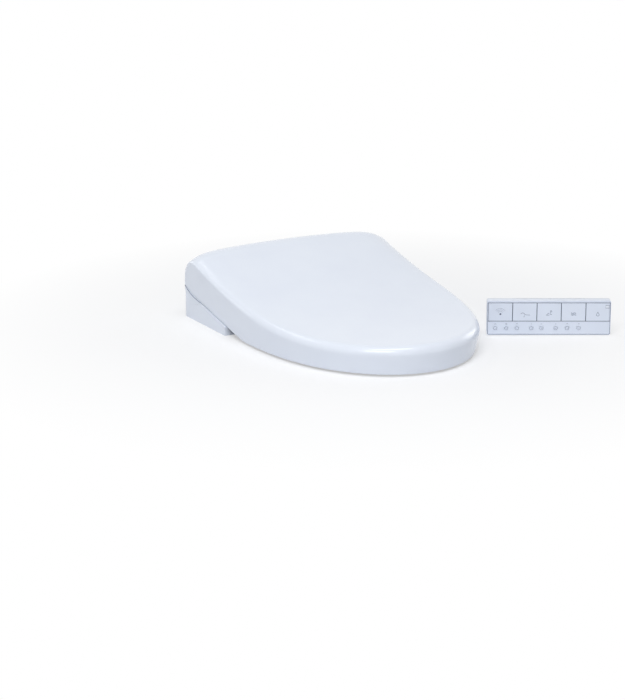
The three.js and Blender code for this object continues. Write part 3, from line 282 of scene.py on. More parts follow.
def mesh_from(name, points, faces, merge=MERGE):
    """A mesh with its doubles merged, holes closed and faces turned outwards."""
    bm = bmesh.new()
    verts = [bm.verts.new(p) for p in points]
    for face in faces:
        bm.faces.new([verts[i] for i in face])
    bmesh.ops.remove_doubles(bm, verts=bm.verts, dist=merge)
    bmesh.ops.dissolve_degenerate(bm, edges=bm.edges, dist=SLIVER)
    bmesh.ops.holes_fill(bm, edges=[e for e in bm.edges if e.is_boundary], sides=0)
    bmesh.ops.recalc_face_normals(bm, faces=bm.faces)
    mesh = bpy.data.meshes.new(name)
    bm.to_mesh(mesh)
    print(name, "faces", len(bm.faces), "open edges", sum(1 for e in bm.edges if not e.is_manifold))
    bm.free()
    return mesh


def strip(rows, count, start=0, closed=False, looped=False):
    """Quads between rows of count points each, numbered row by row from start. Closed joins the last point of
    each row to its first, and looped joins the last row to the first."""
    faces = []
    for r in range(rows if looped else rows - 1):
        a, b = start + r * count, start + (r + 1) % rows * count
        for c in range(count if closed else count - 1):
            d = (c + 1) % count
            faces.append((a + c, a + d, b + d, b + c))
    return faces


def tube(rings):
    """Points and faces of the solid through rings of points, with both ends closed."""
    rows, count = len(rings), len(rings[0])
    ends = [tuple(range(count)), tuple(range((rows - 1) * count, rows * count))]
    return [p for ring in rings for p in ring], strip(rows, count, closed=True) + ends


def quarter(count):
    """A quarter of a round edge, from the flat above to the wall: shares of the radius inwards and down."""
    return [(1 - cos(a), 1 - sin(a)) for a in np.linspace(pi / 2, 0, count)]


# %% [markdown]
# ## The lid
# The lid is one thin shell. Seen from above it is a superellipse in front with straight sides. Its upper
# surface is crowned across, lies level at the tip and rises to the rear, where it rolls over about the
# hinge line and ends as a free edge between two ears. It could be modelled by hand with a subdivision
# surface, but every line of it follows a rule, so it is swept: at each station along the edge, one section
# gives the wall, the fillet, the lip and both faces, and neighbouring sections are joined by quads. The
# left half mirrors the right.

# %% Rules of the lid
def crest_run(y):
    """0 where the crest starts to rise, 1 where the roll starts, and more behind that."""
    return max(0.0, (y - CREST_START) / (MEET_Y - CREST_START))


def crest(y):
    """Height of the lid's upper edge line."""
    return CREST_FRONT + (MEET_Z - CREST_FRONT) * crest_run(y) ** 2


def crest_slope(y):
    return 2 * (MEET_Z - CREST_FRONT) * crest_run(y) / (MEET_Y - CREST_START)


def rear_share(y):
    return min(1.0, crest_run(y))


def crown(x, y):
    """How far the upper surface stands above the edge line: a low crown, and at the rear an arch that is full
    almost out to the ears."""
    growth = rear_share(y) ** 4 * (5 - 4 * rear_share(y))
    height = CROWN_FRONT + (CROWN_REAR - CROWN_FRONT) * growth
    arch = ARCH_REAR * max(0.0, 1 - (abs(x) / EAR_INNER) ** ARCH_POWER)
    return height * (1 - (x / HALF_WIDTH) ** 2) + arch * growth


meet_angle = 0.2
for _ in range(30):
    MEET_Y = HINGE_Y - SHOULDER * sin(meet_angle)
    MEET_Z = HINGE_Z + SHOULDER * cos(meet_angle)
    meet_angle = atan(2 * (MEET_Z - CREST_FRONT) / (MEET_Y - CREST_START))
print("the roll starts at", round(MEET_Y, 5), round(MEET_Z, 5))

# %% [markdown]
# The roll starts where the edge line's slope runs on into its circle. The slope depends on that place too,
# so the cell above goes round until both agree. The lid's lower edge is level round the front. From the
# widest place it rises to the rear, along the line where the unit's side panel meets it. A Catmull-Rom
# curve through a few points gives that line.

# %% The lower edge
SEAM = [
    (WIDEST_Y, LID_BOTTOM), (WIDEST_Y + mm(30), LID_BOTTOM + mm(6)),
    (UNIT_FRONT - mm(12), LID_BOTTOM + mm(10)), (UNIT_FRONT + mm(30), LID_BOTTOM + mm(19)),
    (HINGE_Y - mm(43), HINGE_Z - mm(34.5)), (HINGE_Y + mm(7.5), HINGE_Z - mm(25)),
    (REAR_Y, HINGE_Z - mm(10.5)),
]


def catmull_rom(points, steps):
    """Points along a smooth curve through the given ones."""
    p = np.array([points[0], *points, points[-1]])
    t = np.linspace(0, 1, steps, endpoint=False)[:, None]
    runs = [b + 0.5 * t * ((c - a) + t * ((2 * a - 5 * b + 4 * c - d) + t * (3 * b - a - 3 * c + d)))
            for a, b, c, d in zip(p, p[1:], p[2:], p[3:])]
    return np.vstack([*runs, p[-1:]])


seam_line = catmull_rom(SEAM, 12)


def seam(y):
    """Height of the lid's lower edge."""
    return float(np.interp(y, seam_line[:, 0], seam_line[:, 1]))


def smooth(low, high, value):
    """Rises from 0 at low to 1 at high, level at both ends."""
    t = min(1.0, max(0.0, (value - low) / (high - low)))
    return t * t * (3 - 2 * t)


print("lower edge at the hinge", round(seam(HINGE_Y), 4))

# %% [markdown]
# A station holds where the section stands: the point of the outline with its outward direction, the point
# of the edge line with the direction across the upper surface there, the fillet and the lower end of the
# wall. The first stations go round the ear behind the hinge, then come the roll, the straight side and the
# front.

# %% Stations of the lid
FRONT_STEP = 0.004
EAR_FOOT_BACK = mm(3.5)
EAR_FILLET_MORE, EAR_FILLET_LESS = mm(4), mm(7.5)


def fillet_at(y):
    return FILLET_FRONT + (FILLET_REAR - FILLET_FRONT) * rear_share(y) ** 2


def roll_station(angle):
    """A station on the roll, by its angle behind the vertical through the hinge."""
    lean = (sin(angle), cos(angle))
    foot_y, fillet = HINGE_Y + (SHOULDER - FILLET_REAR) * lean[0], FILLET_REAR
    if angle > WRAP_END:
        share = (angle - WRAP_END) / (EAR_END - WRAP_END)
        start = HINGE_Y + (SHOULDER - FILLET_REAR) * sin(WRAP_END)
        foot_y = start + (REAR_Y - EAR_FOOT_BACK - start) * share * (2 - share)
        fillet += EAR_FILLET_MORE * smooth(0, 0.4, share) - EAR_FILLET_LESS * smooth(0.7, 1, share)
    edge = (HINGE_Y + SHOULDER * lean[0], HINGE_Z + SHOULDER * lean[1])
    return {"x": HALF_WIDTH, "out": (1.0, 0.0), "lean": lean, "fillet": fillet, "foot_y": foot_y,
            "edge": lambda inset: edge, "ear": angle > WRAP_END}


def edge_station(x, y, out=(1.0, 0.0)):
    """A station on the side or the front."""
    slope = crest_slope(y)
    long = hypot(1, slope)
    return {"x": x, "out": out, "lean": (-slope / long, 1 / long), "fillet": fillet_at(y), "foot_y": y,
            "edge": lambda inset: (y - out[1] * inset, crest(y - out[1] * inset)), "ear": False}


def front_point(a):
    bulge = max(0.0, sin(a)) ** (2 / FRONT_POWER)
    return HALF_WIDTH * cos(a), WIDEST_Y - (WIDEST_Y - TIP_Y) * bulge


def front_station(a):
    """A station on the front curve; its outward direction comes from a point on each side of it."""
    x, y = front_point(a)
    x0, y0 = front_point(max(0.0, a - FRONT_STEP))
    x1, y1 = front_point(min(pi / 2, a + FRONT_STEP))
    out = (y0 - y1, x1 - x0)
    if a > pi / 2 - 1e-6:
        x, out = 0.0, (0.0, -1.0)
    long = hypot(*out)
    return edge_station(x, y, (out[0] / long, out[1] / long))


stations = [roll_station(a) for a in np.linspace(EAR_END, WRAP_END + radians(0.5), 26)]
stations += [roll_station(a) for a in np.linspace(WRAP_END, -meet_angle, 12)]
stations += [edge_station(HALF_WIDTH, y) for y in np.linspace(MEET_Y, WIDEST_Y, 34)[1:]]
stations += [front_station(pi / 2 * t ** 1.2) for t in np.linspace(0, 1, 84)[1:]]
print("stations", len(stations))

# %% [markdown]
# At a station the section runs from the end of the outer fillet down the outer wall, round the lip and up
# the inner wall to the end of the inner fillet. The wall leans in towards its foot, which is the draft that
# lets a moulded part leave its tool. Near the hinge the inner face stands upright, because the ear turns
# against the unit's cheek.

# %% The section
EAR_START = (mm(-60), mm(-25))


def draft_at(y, z, fillet):
    """Inset of the outer wall at a height, from nothing under the fillet to the whole draft at the bottom."""
    rise = (z - LID_BOTTOM) / (crest(y) - fillet - LID_BOTTOM)
    return DRAFT * min(1.0, max(0.0, 1 - rise))


def skirt_section(s):
    """Points from the outer fillet's end to the inner fillet's end."""
    (ly, lz), (ox, oy), fillet = s["lean"], s["out"], s["fillet"]

    def on_top(inset, drop):
        """A point the given distance in from the outline and below the upper surface."""
        x = max(0.0, s["x"] - ox * inset)
        y, z = s["edge"](inset)
        rise = crown(x, y) - drop
        return (x, y + ly * rise, z + lz * rise)

    def on_wall(inset, y, z):
        return (max(0.0, s["x"] - ox * inset), y - oy * inset, z)

    head = on_top(0.0, fillet)
    foot_y, foot_z = s["foot_y"], seam(s["foot_y"])
    head_inset = draft_at(head[1], head[2], fillet)
    inner_face = HALF_WIDTH - EAR_INNER
    across = min(FILLET_REAR, inner_face - head_inset - mm(0.2)) if s["ear"] else fillet
    points = [on_top(head_inset + across * inwards, fillet * down) for inwards, down in quarter(11)]
    share = smooth(*EAR_START, foot_y)
    foot_inset = draft_at(foot_y, foot_z, fillet)
    inner_foot = (foot_inset + WALL) * (1 - share) + inner_face * share
    lip = min(LIP, (inner_foot - foot_inset) / 2)
    for t in np.linspace(0, 1, 7)[1:]:
        y = head[1] + (foot_y - head[1]) * t if ox > 0.999 else foot_y
        z = head[2] + (foot_z + lip - head[2]) * t
        points.append(on_wall(head_inset + (foot_inset - head_inset) * t, y, z))
    points += [on_wall(foot_inset + lip * inwards, foot_y, foot_z + lip * down)
               for inwards, down in quarter(4)[-2::-1]]
    points += [on_wall(inner_foot - lip * inwards, foot_y, foot_z + lip * down)
               for inwards, down in quarter(4)]
    if s["ear"]:
        top, foot = points[0], foot_z + lip
        for t in np.linspace(0, 1, 10)[1:]:
            points.append(on_wall(inner_face, foot_y + (top[1] - foot_y) * t, foot + (top[2] - foot) * t))
        points[-1] = top
        return points
    inner_head = (head_inset + WALL) * (1 - share) + inner_face * share
    small = max(mm(1), fillet - WALL)
    start, end = on_wall(inner_foot, foot_y, foot_z + lip), on_top(inner_head, WALL + small)
    points += [tuple(a + (b - a) * t for a, b in zip(start, end)) for t in np.linspace(0, 1, 5)[1:]]
    return points + [on_top(inner_head + small * inwards, WALL + small * down)
                     for inwards, down in quarter(6)[-2::-1]]


sections = [skirt_section(s) for s in stations]
print("points in a section", {len(s) for s in sections})

# %% [markdown]
# The upper surface and the one under it are rows from the fillet's end to the middle line. Behind the hinge
# they end, and a rounded edge joins them.

# %% The lid's mesh
TOP_COUNT, REAR_EDGE_ROWS = 23, 7
REAR_EDGE_BULGE = 0.35 * WALL


def top_row(s, end, drop):
    """Points from the fillet's end to the middle, on the upper surface or drop below it."""
    ly, lz = s["lean"]
    edge_y = end[1]
    for _ in range(4):
        edge_y = end[1] - ly * (crown(end[0], edge_y) - drop)
    row = []
    for x in end[0] * np.sin(np.linspace(pi / 2, 0, TOP_COUNT)):
        rise = crown(x, edge_y) - crown(end[0], edge_y)
        row.append((float(x), end[1] + ly * rise, end[2] + lz * rise))
    return row


def lid_mesh():
    points = [p for section in sections for p in section]
    faces = strip(len(sections), len(sections[0]))
    open_stations = [(s, p) for s, p in zip(stations, sections) if not s["ear"]]
    for index, drop in ((0, 0.0), (-1, WALL)):
        faces += strip(len(open_stations), TOP_COUNT, len(points))
        for s, p in open_stations:
            points += top_row(s, p[index], drop)
    rear, section = open_stations[0]
    upper, lower = np.array(top_row(rear, section[0], 0.0)), np.array(top_row(rear, section[-1], WALL))
    behind = np.array([0.0, rear["lean"][1], -rear["lean"][0]]) * REAR_EDGE_BULGE
    faces += strip(REAR_EDGE_ROWS, TOP_COUNT, len(points))
    for b in np.linspace(0, pi, REAR_EDGE_ROWS):
        share = (1 + cos(b)) / 2
        points += [tuple(p) for p in upper * share + lower * (1 - share) + behind * sin(b)]
    count = len(points)
    mirrored = [(-x, y, z) for x, y, z in points]
    return mesh_from("lid", points + mirrored, faces + [tuple(i + count for i in f[::-1]) for f in faces])


lid = piece("lid", lid_mesh(), "lid_shell")

# %% [markdown]
# ## The lid's hinge cheeks
# Where the lid's ear meets the side panel, a cheek about the hinge line turns in a round hollow of the
# panel, so that no gap opens below the ear as the lid goes up. Its outline is the part of a circle that
# lies below the lid's edge line, closed along that line, and a short run across gives the thickness. A
# boolean of a cylinder with the lid would leave ragged edges.

# %% Hinge cheeks
CHEEK_R = SHOULDER + mm(1.25)
CHEEK_IN, CHEEK_OUT = HALF_WIDTH - mm(6.1), HALF_WIDTH - mm(2.55)
CHEEK_LAP, CHEEK_CHAMFER, CHEEK_LESS = mm(0.3), mm(0.12), 0.008


def cheek_outline():
    """The cheek's outline as (y, z): the circle below the lid's edge line, and that line."""
    turns = np.radians(np.linspace(200, 332, 133))
    low = [(HINGE_Y + CHEEK_R * cos(a), HINGE_Z + CHEEK_R * sin(a)) for a in turns]
    low = [(y, z) for y, z in low if z < seam(y) + CHEEK_LAP]
    return low[::4] + [(y, seam(y) + CHEEK_LAP) for y in np.linspace(low[-1][0], low[0][0], 14)[:-1]]


def cheek(name, side):
    """Four copies of the outline across the cheek, the outer two a little smaller, which breaks its edges."""
    ring = np.array(cheek_outline())
    middle = ring.mean(0)
    places = ((CHEEK_IN, CHEEK_LESS), (CHEEK_IN + CHEEK_CHAMFER, 0), (CHEEK_OUT - CHEEK_CHAMFER, 0),
              (CHEEK_OUT, CHEEK_LESS))
    rings = [[(side * across, y, z) for y, z in middle + (ring - middle) * (1 - less)]
             for across, less in places]
    rider(name, mesh_from(name, *tube(rings)), "lid_shell")


cheek("lid_cheek_left", -1)
cheek("lid_cheek_right", 1)

# %% [markdown]
# A thin grey band of painted shade lies in the corner between the ear's lower edge and the cheek, where the
# seam's shadow falls. It draws the line that carries the lid's lower edge on to the rear. It follows the edge
# line's own rule.

# %% Painted shade lines under the ears
SHADE_LINE_IN, SHADE_LINE_OUT, SHADE_LINE_HALF = CHEEK_OUT - mm(0.3), CHEEK_OUT + mm(0.12), mm(0.45)


def ear_shade_line(name, side):
    """A square band of painted shade along the lid's lower edge line, from in front of the hinge to the rear."""
    corners = ((SHADE_LINE_IN, -SHADE_LINE_HALF), (SHADE_LINE_OUT, -SHADE_LINE_HALF), (SHADE_LINE_OUT, SHADE_LINE_HALF), (SHADE_LINE_IN, SHADE_LINE_HALF))
    rings = [[(side * across, y, seam(y) + mm(0.1) + up) for across, up in corners]
             for y in np.linspace(HINGE_Y - mm(23), HINGE_Y + mm(34.5), 25)]
    rider(name, mesh_from(name, *tube(rings)), "lid_shell", "ink")


ear_shade_line("ear_seal_left", -1)
ear_shade_line("ear_seal_right", 1)

# %% [markdown]
# ## Pieces that keep their CAD shape
# Many pieces are already right in the frame, apart from their knife edges: a moulded edge always has a
# radius. Each of these is copied, its loose triangles are merged back into whole faces, and every sharp
# edge is rounded. A bevel modifier would do it too, but the mesh operator lets the script choose the edges
# that are long enough. The radius is held back where faces are narrow, so that none folds over: the unit's
# cover gets about a tenth of a millimetre. The last step closes up edges that have no length.

# %% Rounded copies
BEVEL_STEPS, NO_LENGTH = 2, mm(0.00001)
FLAT_TURN, SHARP_TURN = radians(0.6), radians(35)


def merged(mesh):
    """A CAD mesh, which is loose triangles, with its points joined."""
    bm = bmesh.new()
    bm.from_mesh(mesh)
    bmesh.ops.remove_doubles(bm, verts=bm.verts, dist=MERGE)
    return bm


def softened(name, node, radius, keep=None, shortest=0.0, shape=None):
    """A copy of a CAD node with its sharp edges rounded, which stands for that node. Edges in keep stay sharp,
    and so do those shorter than shortest. A shape takes the place of the node's own mesh."""
    bm = merged(shape or nodes[node].data)
    bmesh.ops.dissolve_degenerate(bm, edges=bm.edges, dist=MERGE)
    sharp = []
    if radius:
        bmesh.ops.dissolve_limit(bm, verts=bm.verts, edges=bm.edges, angle_limit=FLAT_TURN)
        sharp = [e for e in bm.edges if e.is_manifold and e.calc_face_angle(0) > SHARP_TURN
                 and e.calc_length() >= shortest and not (keep and all(keep(v.co) for v in e.verts))]
        bmesh.ops.bevel(bm, geom=sharp, offset=radius, offset_type="OFFSET", segments=BEVEL_STEPS,
                        profile=0.5, affect="EDGES", clamp_overlap=True, miter_outer="ARC")
        bmesh.ops.dissolve_degenerate(bm, edges=bm.edges, dist=NO_LENGTH)
    bmesh.ops.recalc_face_normals(bm, faces=bm.faces)
    mesh = bpy.data.meshes.new(name)
    bm.to_mesh(mesh)
    print(name, "edges rounded", len(sharp), "faces", len(bm.faces))
    bm.free()
    obj = piece(name, mesh, node)
    flat = obj.modifiers.new("flat_faces", "WEIGHTED_NORMAL")
    flat.weight, flat.keep_sharp = 100, True
    return obj


def beside_cheek(point):
    """True on the rim of the hollow that the lid's cheek turns in."""
    distance = hypot(point.y - HINGE_Y, point.z - HINGE_Z)
    return abs(distance - SHOULDER - mm(1.5)) < mm(0.4) and abs(point.x) > EAR_INNER - mm(2)


def both_sides(name, node, radius):
    """Rows of the table below for a left and a right piece."""
    return [(f"{name}_{side}", f"{node}_{side}", radius) for side in ("left", "right")]


ROUNDED = [
    ("unit_tray", "base_tray", 0.6), ("fixing_plate", "mount_plate", 0.8),
    *both_sides("fixing_bolt", "mount_bolt", 0.5), ("heater_case", "water_heater", 1.2),
    ("pump_case", "water_pump", 0.8), ("valve_case", "valve_block", 0.6),
    ("inlet_fitting", "water_inlet", 0.4), ("board_stack", "control_board", 0.3),
    ("cord_gland", "cord_inlet", 0.5), ("fan_case", "fan_housing", 0.8), ("warm_air_duct", "dryer_duct", 0.6),
    ("wand_guide", "nozzle_guide", 0.5), ("wand_motor", "nozzle_motor", 0.6),
    ("ring_damper", "seat_damper", 0.6), ("cover_damper", "lid_damper", 0.6), ("wand", "nozzle_wand", 0.4),
    ("wand_shutter", "nozzle_cap", 0.9), ("pinion", "nozzle_pinion", 0.15), ("impeller", "fan_impeller", 0.3),
    ("air_flap", "dryer_flap", 0.5), ("filter_drawer", "deodorizer_filter", 0.5),
    ("release_catch", "release_button", 0.5), ("power_key", "power_button", 0.5),
    *both_sides("ring_pin", "seat_pivot", 0.6), *both_sides("cover_pin", "lid_pivot", 0.6),
    *both_sides("cover_stop", "lid_bumper", 0.8), *both_sides("ring_foot_front", "seat_bumper_front", 0.8),
    *both_sides("ring_foot_rear", "seat_bumper_rear", 0.8),
    ("remote_face", "remote_front", 0.5), ("remote_case", "remote_back", 0.8),
    ("remote_stand", "remote_bracket", 0.6), ("remote_door", "battery_cover", 0.4),
    ("cell_upper", "remote_cell_1", 0.8), ("cell_lower", "remote_cell_2", 0.8),
    *[(f"wash_plate_{n}", f"wash_key_{n}", 0.35) for n in range(1, 6)],
    *[(f"small_plate_{n}", f"small_key_{n}", 0.3) for n in range(1, 9)],
]
MANY_SHORT_EDGES = ("remote_face", "wand")
unit_cover = softened("unit_cover", "base_cover", mm(0.8), keep=beside_cheek)
for name, node, radius in ROUNDED:
    softened(name, node, mm(radius), shortest=mm(3) if name in MANY_SHORT_EDGES else 0.0)

# %% [markdown]
# ## The seat ring
# The ring is a hollow moulding in two halves. Its hole follows a rule, half a superellipse in front and a
# squarer one behind, and its upper edge is rounded where legs touch it. The CAD halves have the hole with
# few corners, so a boolean takes a little more away, with a cutter that follows the same rule in fine
# steps: upright below, and flared over the upper edge by a quarter circle. A ray dropped onto the ring
# gives its height at each step.

# %% The seat ring's hole
HOLE_HALF, HOLE_FRONT, HOLE_REAR = mm(107), mm(-400), mm(-132)
HOLE_ROUND, HOLE_STEPS = mm(4.5), 180
SIDE_POWER, FRONT_END_POWER, REAR_END_POWER = 0.85, 0.92, 0.72


def hole_curve(grow):
    """The hole's outline as (x, y), grown outwards."""
    middle, length = (HOLE_FRONT + HOLE_REAR) / 2, (HOLE_REAR - HOLE_FRONT) / 2 + grow
    points = []
    for turn in np.linspace(0, 2 * pi, HOLE_STEPS, endpoint=False):
        s, c = sin(turn), cos(turn)
        power = REAR_END_POWER if s > 0 else FRONT_END_POWER
        points.append(((HOLE_HALF + grow) * copysign(abs(c) ** SIDE_POWER, c),
                       middle + length * copysign(abs(s) ** power, s)))
    return points


def hole_cutter():
    """The solid that leaves an even wall and a rounded upper edge."""
    ring = nodes["seat_upper"].data
    solid = BVHTree.FromPolygons([v.co for v in ring.vertices], [p.vertices for p in ring.polygons])
    tops = [solid.ray_cast(Vector((x, y, 0.2)), Vector((0, 0, -1)))[0].z
            for x, y in hole_curve(HOLE_ROUND + mm(1))]
    rings = [[(x, y, mm(-10)) for x, y in hole_curve(0)]]
    for outwards, down in quarter(8)[::-1]:
        flared = zip(hole_curve(HOLE_ROUND * outwards), tops)
        rings.append([(x, y, top - HOLE_ROUND * down) for (x, y), top in flared])
    rings.append([(x, y, mm(80)) for x, y in hole_curve(HOLE_ROUND)])
    return in_scene("hole_cutter", mesh_from("hole_cutter", *tube(rings)))


def settled(obj):
    """The plain mesh that an object's modifiers make. The object goes."""
    graph = bpy.context.evaluated_depsgraph_get()
    mesh = bpy.data.meshes.new_from_object(obj.evaluated_get(graph), depsgraph=graph)
    bpy.data.objects.remove(obj)
    return mesh


def with_fine_hole(node, cutter):
    """A CAD half of the ring with the cutter taken away from it."""
    bm = merged(nodes[node].data)
    half = in_scene(node + "_half", bpy.data.meshes.new(node + "_half"))
    bm.to_mesh(half.data)
    bm.free()
    taken = half.modifiers.new("hole", "BOOLEAN")
    taken.operation, taken.solver, taken.object = "DIFFERENCE", "MANIFOLD", cutter
    return settled(half)


cutter = hole_cutter()
for name, node, radius in (("ring_upper", "seat_upper", 0), ("ring_lower", "seat_lower", mm(0.8))):
    softened(name, node, radius, shape=with_fine_hole(node, cutter))
bpy.data.objects.remove(cutter)

# %% [markdown]
# ## Rows that Geometry Nodes repeat
# Vents, slots, grips, ribs and ridges are rows of one small shape. An array modifier only goes in straight
# lines. A node tree takes the count, the pitch and the sizes as inputs, puts the shape on each point of a
# line, and can drop the points onto a curved wall first, so one kind of tree makes every row on this
# object. The result becomes a plain mesh, and the modifier goes.

# %% A tree with named inputs
def geometry_tree(name, inputs):
    """A geometry tree with these inputs and their first values, and the sockets that give them out."""
    tree = bpy.data.node_groups.new(name, "GeometryNodeTree")
    for label, value in inputs.items():
        kind = "NodeSocketInt" if isinstance(value, int) else "NodeSocketFloat"
        tree.interface.new_socket(name=label, in_out="INPUT", socket_type=kind).default_value = value
    tree.interface.new_socket(name="Geometry", in_out="OUTPUT", socket_type="NodeSocketGeometry")
    return tree, add(tree, "NodeGroupInput").outputs


def grown(name, tree, inputs, frame_of_row):
    """The plain mesh that a tree makes with these inputs, laid out in the frame of its row."""
    maker = in_scene(name, bpy.data.meshes.new(name))
    maker.matrix_world = frame_of_row
    modifier = maker.modifiers.new("maker", "NODES")
    modifier.node_group = tree
    for item in tree.interface.items_tree:
        if item.in_out == "INPUT" and item.name in inputs:
            modifier[item.identifier] = inputs[item.name]
    mesh = settled(maker)
    mesh.transform(frame_of_row)
    print(name, "faces", len(mesh.polygons))
    return mesh


# %% [markdown]
# One shape of a row is a flat bar with round ends. A rounded rectangle is filled to a face, the face is
# pushed up to the bar's height, and a flipped copy of it closes the bottom. The bar lies in the XY plane of
# the row, with its length along Y, and the row runs along X. A bar as long as it is wide is a round dot.

# %% A row of bars
def bar_row(name, material, wall=None):
    """A tree for a row of bars; with a wall the row is dropped onto it along its own -Z."""
    tree, given = geometry_tree(name, {"Count": 8, "Pitch": mm(3), "Length": mm(8), "Width": mm(1.4),
                                       "Height": mm(0.5), "Below": mm(0.3)})
    shape = add(tree, "GeometryNodeCurvePrimitiveQuadrilateral", {},
                {"Width": given["Width"], "Height": given["Length"]})
    half = add(tree, "ShaderNodeMath", {"operation": "MULTIPLY", 1: 0.499}, {0: given["Width"]})
    round_ends = add(tree, "GeometryNodeFilletCurve", {"mode": "POLY", "Count": 5},
                     {"Curve": shape, "Radius": half})
    face = add(tree, "GeometryNodeFillCurve", {"mode": "NGONS"}, {"Curve": round_ends})
    pushed = add(tree, "GeometryNodeExtrudeMesh", {"mode": "FACES"},
                 {"Mesh": face, "Offset Scale": given["Height"]})
    under = add(tree, "GeometryNodeFlipFaces", {}, {"Mesh": face})
    solid = add(tree, "GeometryNodeJoinGeometry", {}, {"Geometry": pushed})
    tree.links.new(under.outputs[0], solid.inputs["Geometry"])
    closed = add(tree, "GeometryNodeMergeByDistance", {"Distance": SLIVER}, {"Geometry": solid})
    lowered = add(tree, "ShaderNodeMath", {"operation": "MULTIPLY", 1: -1.0}, {0: given["Below"]})
    sink = add(tree, "ShaderNodeCombineXYZ", {}, {"Z": lowered})
    bar = add(tree, "GeometryNodeTransform", {}, {"Geometry": closed, "Translation": sink})
    gaps = add(tree, "ShaderNodeMath", {"operation": "SUBTRACT", 1: 1.0}, {0: given["Count"]})
    whole = add(tree, "ShaderNodeMath", {"operation": "MULTIPLY"}, {0: gaps, 1: given["Pitch"]})
    start = add(tree, "ShaderNodeMath", {"operation": "MULTIPLY", 1: -0.5}, {0: whole})
    first = add(tree, "ShaderNodeCombineXYZ", {}, {"X": start})
    step = add(tree, "ShaderNodeCombineXYZ", {}, {"X": given["Pitch"]})
    points = add(tree, "GeometryNodeMeshLine", {"mode": "OFFSET"},
                 {"Count": given["Count"], "Start Location": first, "Offset": step})
    turned = {}
    if wall:
        target = add(tree, "GeometryNodeObjectInfo", {"transform_space": "RELATIVE", "Object": wall})
        ray = add(tree, "GeometryNodeRaycast", {"Ray Length": 1.0, "Ray Direction": (0, 0, -1)},
                  {"Target Geometry": target.outputs["Geometry"]}).outputs
        held = add(tree, "GeometryNodeCaptureAttribute", {"domain": "POINT"}, {"Geometry": points})
        held.capture_items.new("VECTOR", "Normal")
        tree.links.new(ray["Hit Normal"], held.inputs["Normal"])
        points = add(tree, "GeometryNodeSetPosition", {}, {"Geometry": held, "Position": ray["Hit Position"]})
        turned["Rotation"] = add(tree, "FunctionNodeAlignRotationToVector", {"axis": "Z"},
                                 {"Vector": held.outputs["Normal"]})
    copies = add(tree, "GeometryNodeInstanceOnPoints", {}, {"Points": points, "Instance": bar, **turned})
    real = add(tree, "GeometryNodeRealizeInstances", {}, {"Geometry": copies})
    painted = add(tree, "GeometryNodeSetMaterial", {"Material": material}, {"Geometry": real})
    add(tree, "NodeGroupOutput", {}, {"Geometry": painted})
    return tree


def place_row(name, tree, node, finish_name, origin, across, outward, sizes):
    """A row of bars on a wall: its line runs along across, and its bars rise along outward. The sizes are the
    count, then the pitch, length, width, height and depth below the wall in millimetres."""
    count, *lengths = sizes
    inputs = {"Count": count, **dict(zip(("Pitch", "Length", "Width", "Height", "Below"), map(mm, lengths)))}
    x, z = Vector(across), Vector(outward)
    turn = Matrix((x, z.cross(x), z)).transposed().to_4x4()
    return rider(name, grown(name, tree, inputs, Matrix.Translation(origin) @ turn), node, finish_name)


# Dark bars are painted shade that stands for the openings of slots and vents.
dark_bars = bar_row("dark_bars", finish["dark_plastic"])
white_bars = bar_row("white_bars", finish["satin_white"])

# %% [markdown]
# The filter drawer on the right side breathes through two rows of slots, and the catch beside it has raised
# grips. The electronics are cooled through a row of vents in the bowed rear wall, which the row is dropped
# onto. Slots and vents are drawn as dark bars just proud of the wall, painted shade for their dark openings.
# The air flap has ribs that guide the warm air.

# %% Slots, grips, vents and ribs
BACK, FRONT, RIGHT, LEFT = (0, 1, 0), (0, -1, 0), (1, 0, 0), (-1, 0, 0)
low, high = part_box("deodorizer_filter")
for word, share in (("front", 0.2), ("rear", 0.8)):
    origin = (high.x, low.y + (high.y - low.y) * share, (low.z + high.z) / 2)
    place_row(f"filter_slots_{word}", dark_bars, "deodorizer_filter", "dark_plastic", origin, BACK, RIGHT,
              (5, 2.6, 11, 1.1, 0.35, 0.3))
low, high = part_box("release_button")
place_row("catch_grips", white_bars, "release_button", "satin_white",
          (high.x, (low.y + high.y) / 2, (low.z + high.z) / 2), BACK, RIGHT, (4, 2.6, 6.4, 1.1, 0.6, 0.3))
low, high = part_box("base_cover")
rear_bars = bar_row("rear_bars", finish["dark_plastic"], unit_cover)
place_row("rear_vents", rear_bars, "base_cover", "dark_plastic", (0, high.y + mm(3), mm(13)), LEFT, BACK,
          (19, 6, 11, 2.2, 0.35, 0.33))
low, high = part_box("dryer_flap")
place_row("flap_ribs", white_bars, "dryer_flap", "gloss_white",
          ((low.x + high.x) / 2, low.y, (low.z + high.z) / 2), RIGHT, FRONT, (7, 4.2, 11, 1.2, 0.6, 0.3))

# %% [markdown]
# ## The remote's printing
# The remote's keys carry thin grey signs, printed with ink that stands a few hundredths of a millimetre
# proud. A curve object could draw them, but the signs are flat bands of even width, so a function lays a
# band of quads along a line of points on the face. Five large keys start and stop the wash and the dryer.
# Eight small ones set strength, place and warmth, and have a short mark above each.

# %% The remote's own axes
REMOTE_TURN = radians(-29.5)
ACROSS = np.array([cos(REMOTE_TURN), sin(REMOTE_TURN), 0.0])
OUTWARD = np.array([sin(REMOTE_TURN), -cos(REMOTE_TURN), 0.0])
INK_ROOT = mm(0.1)


def remote_span(node):
    """The lowest and highest of a node's places across, upwards and outwards, in the remote's own axes."""
    points = np.array([v.co for v in nodes[node].data.vertices])
    local = np.stack([points @ ACROSS, points[:, 2], points @ OUTWARD], 1)
    return local.min(0), local.max(0)


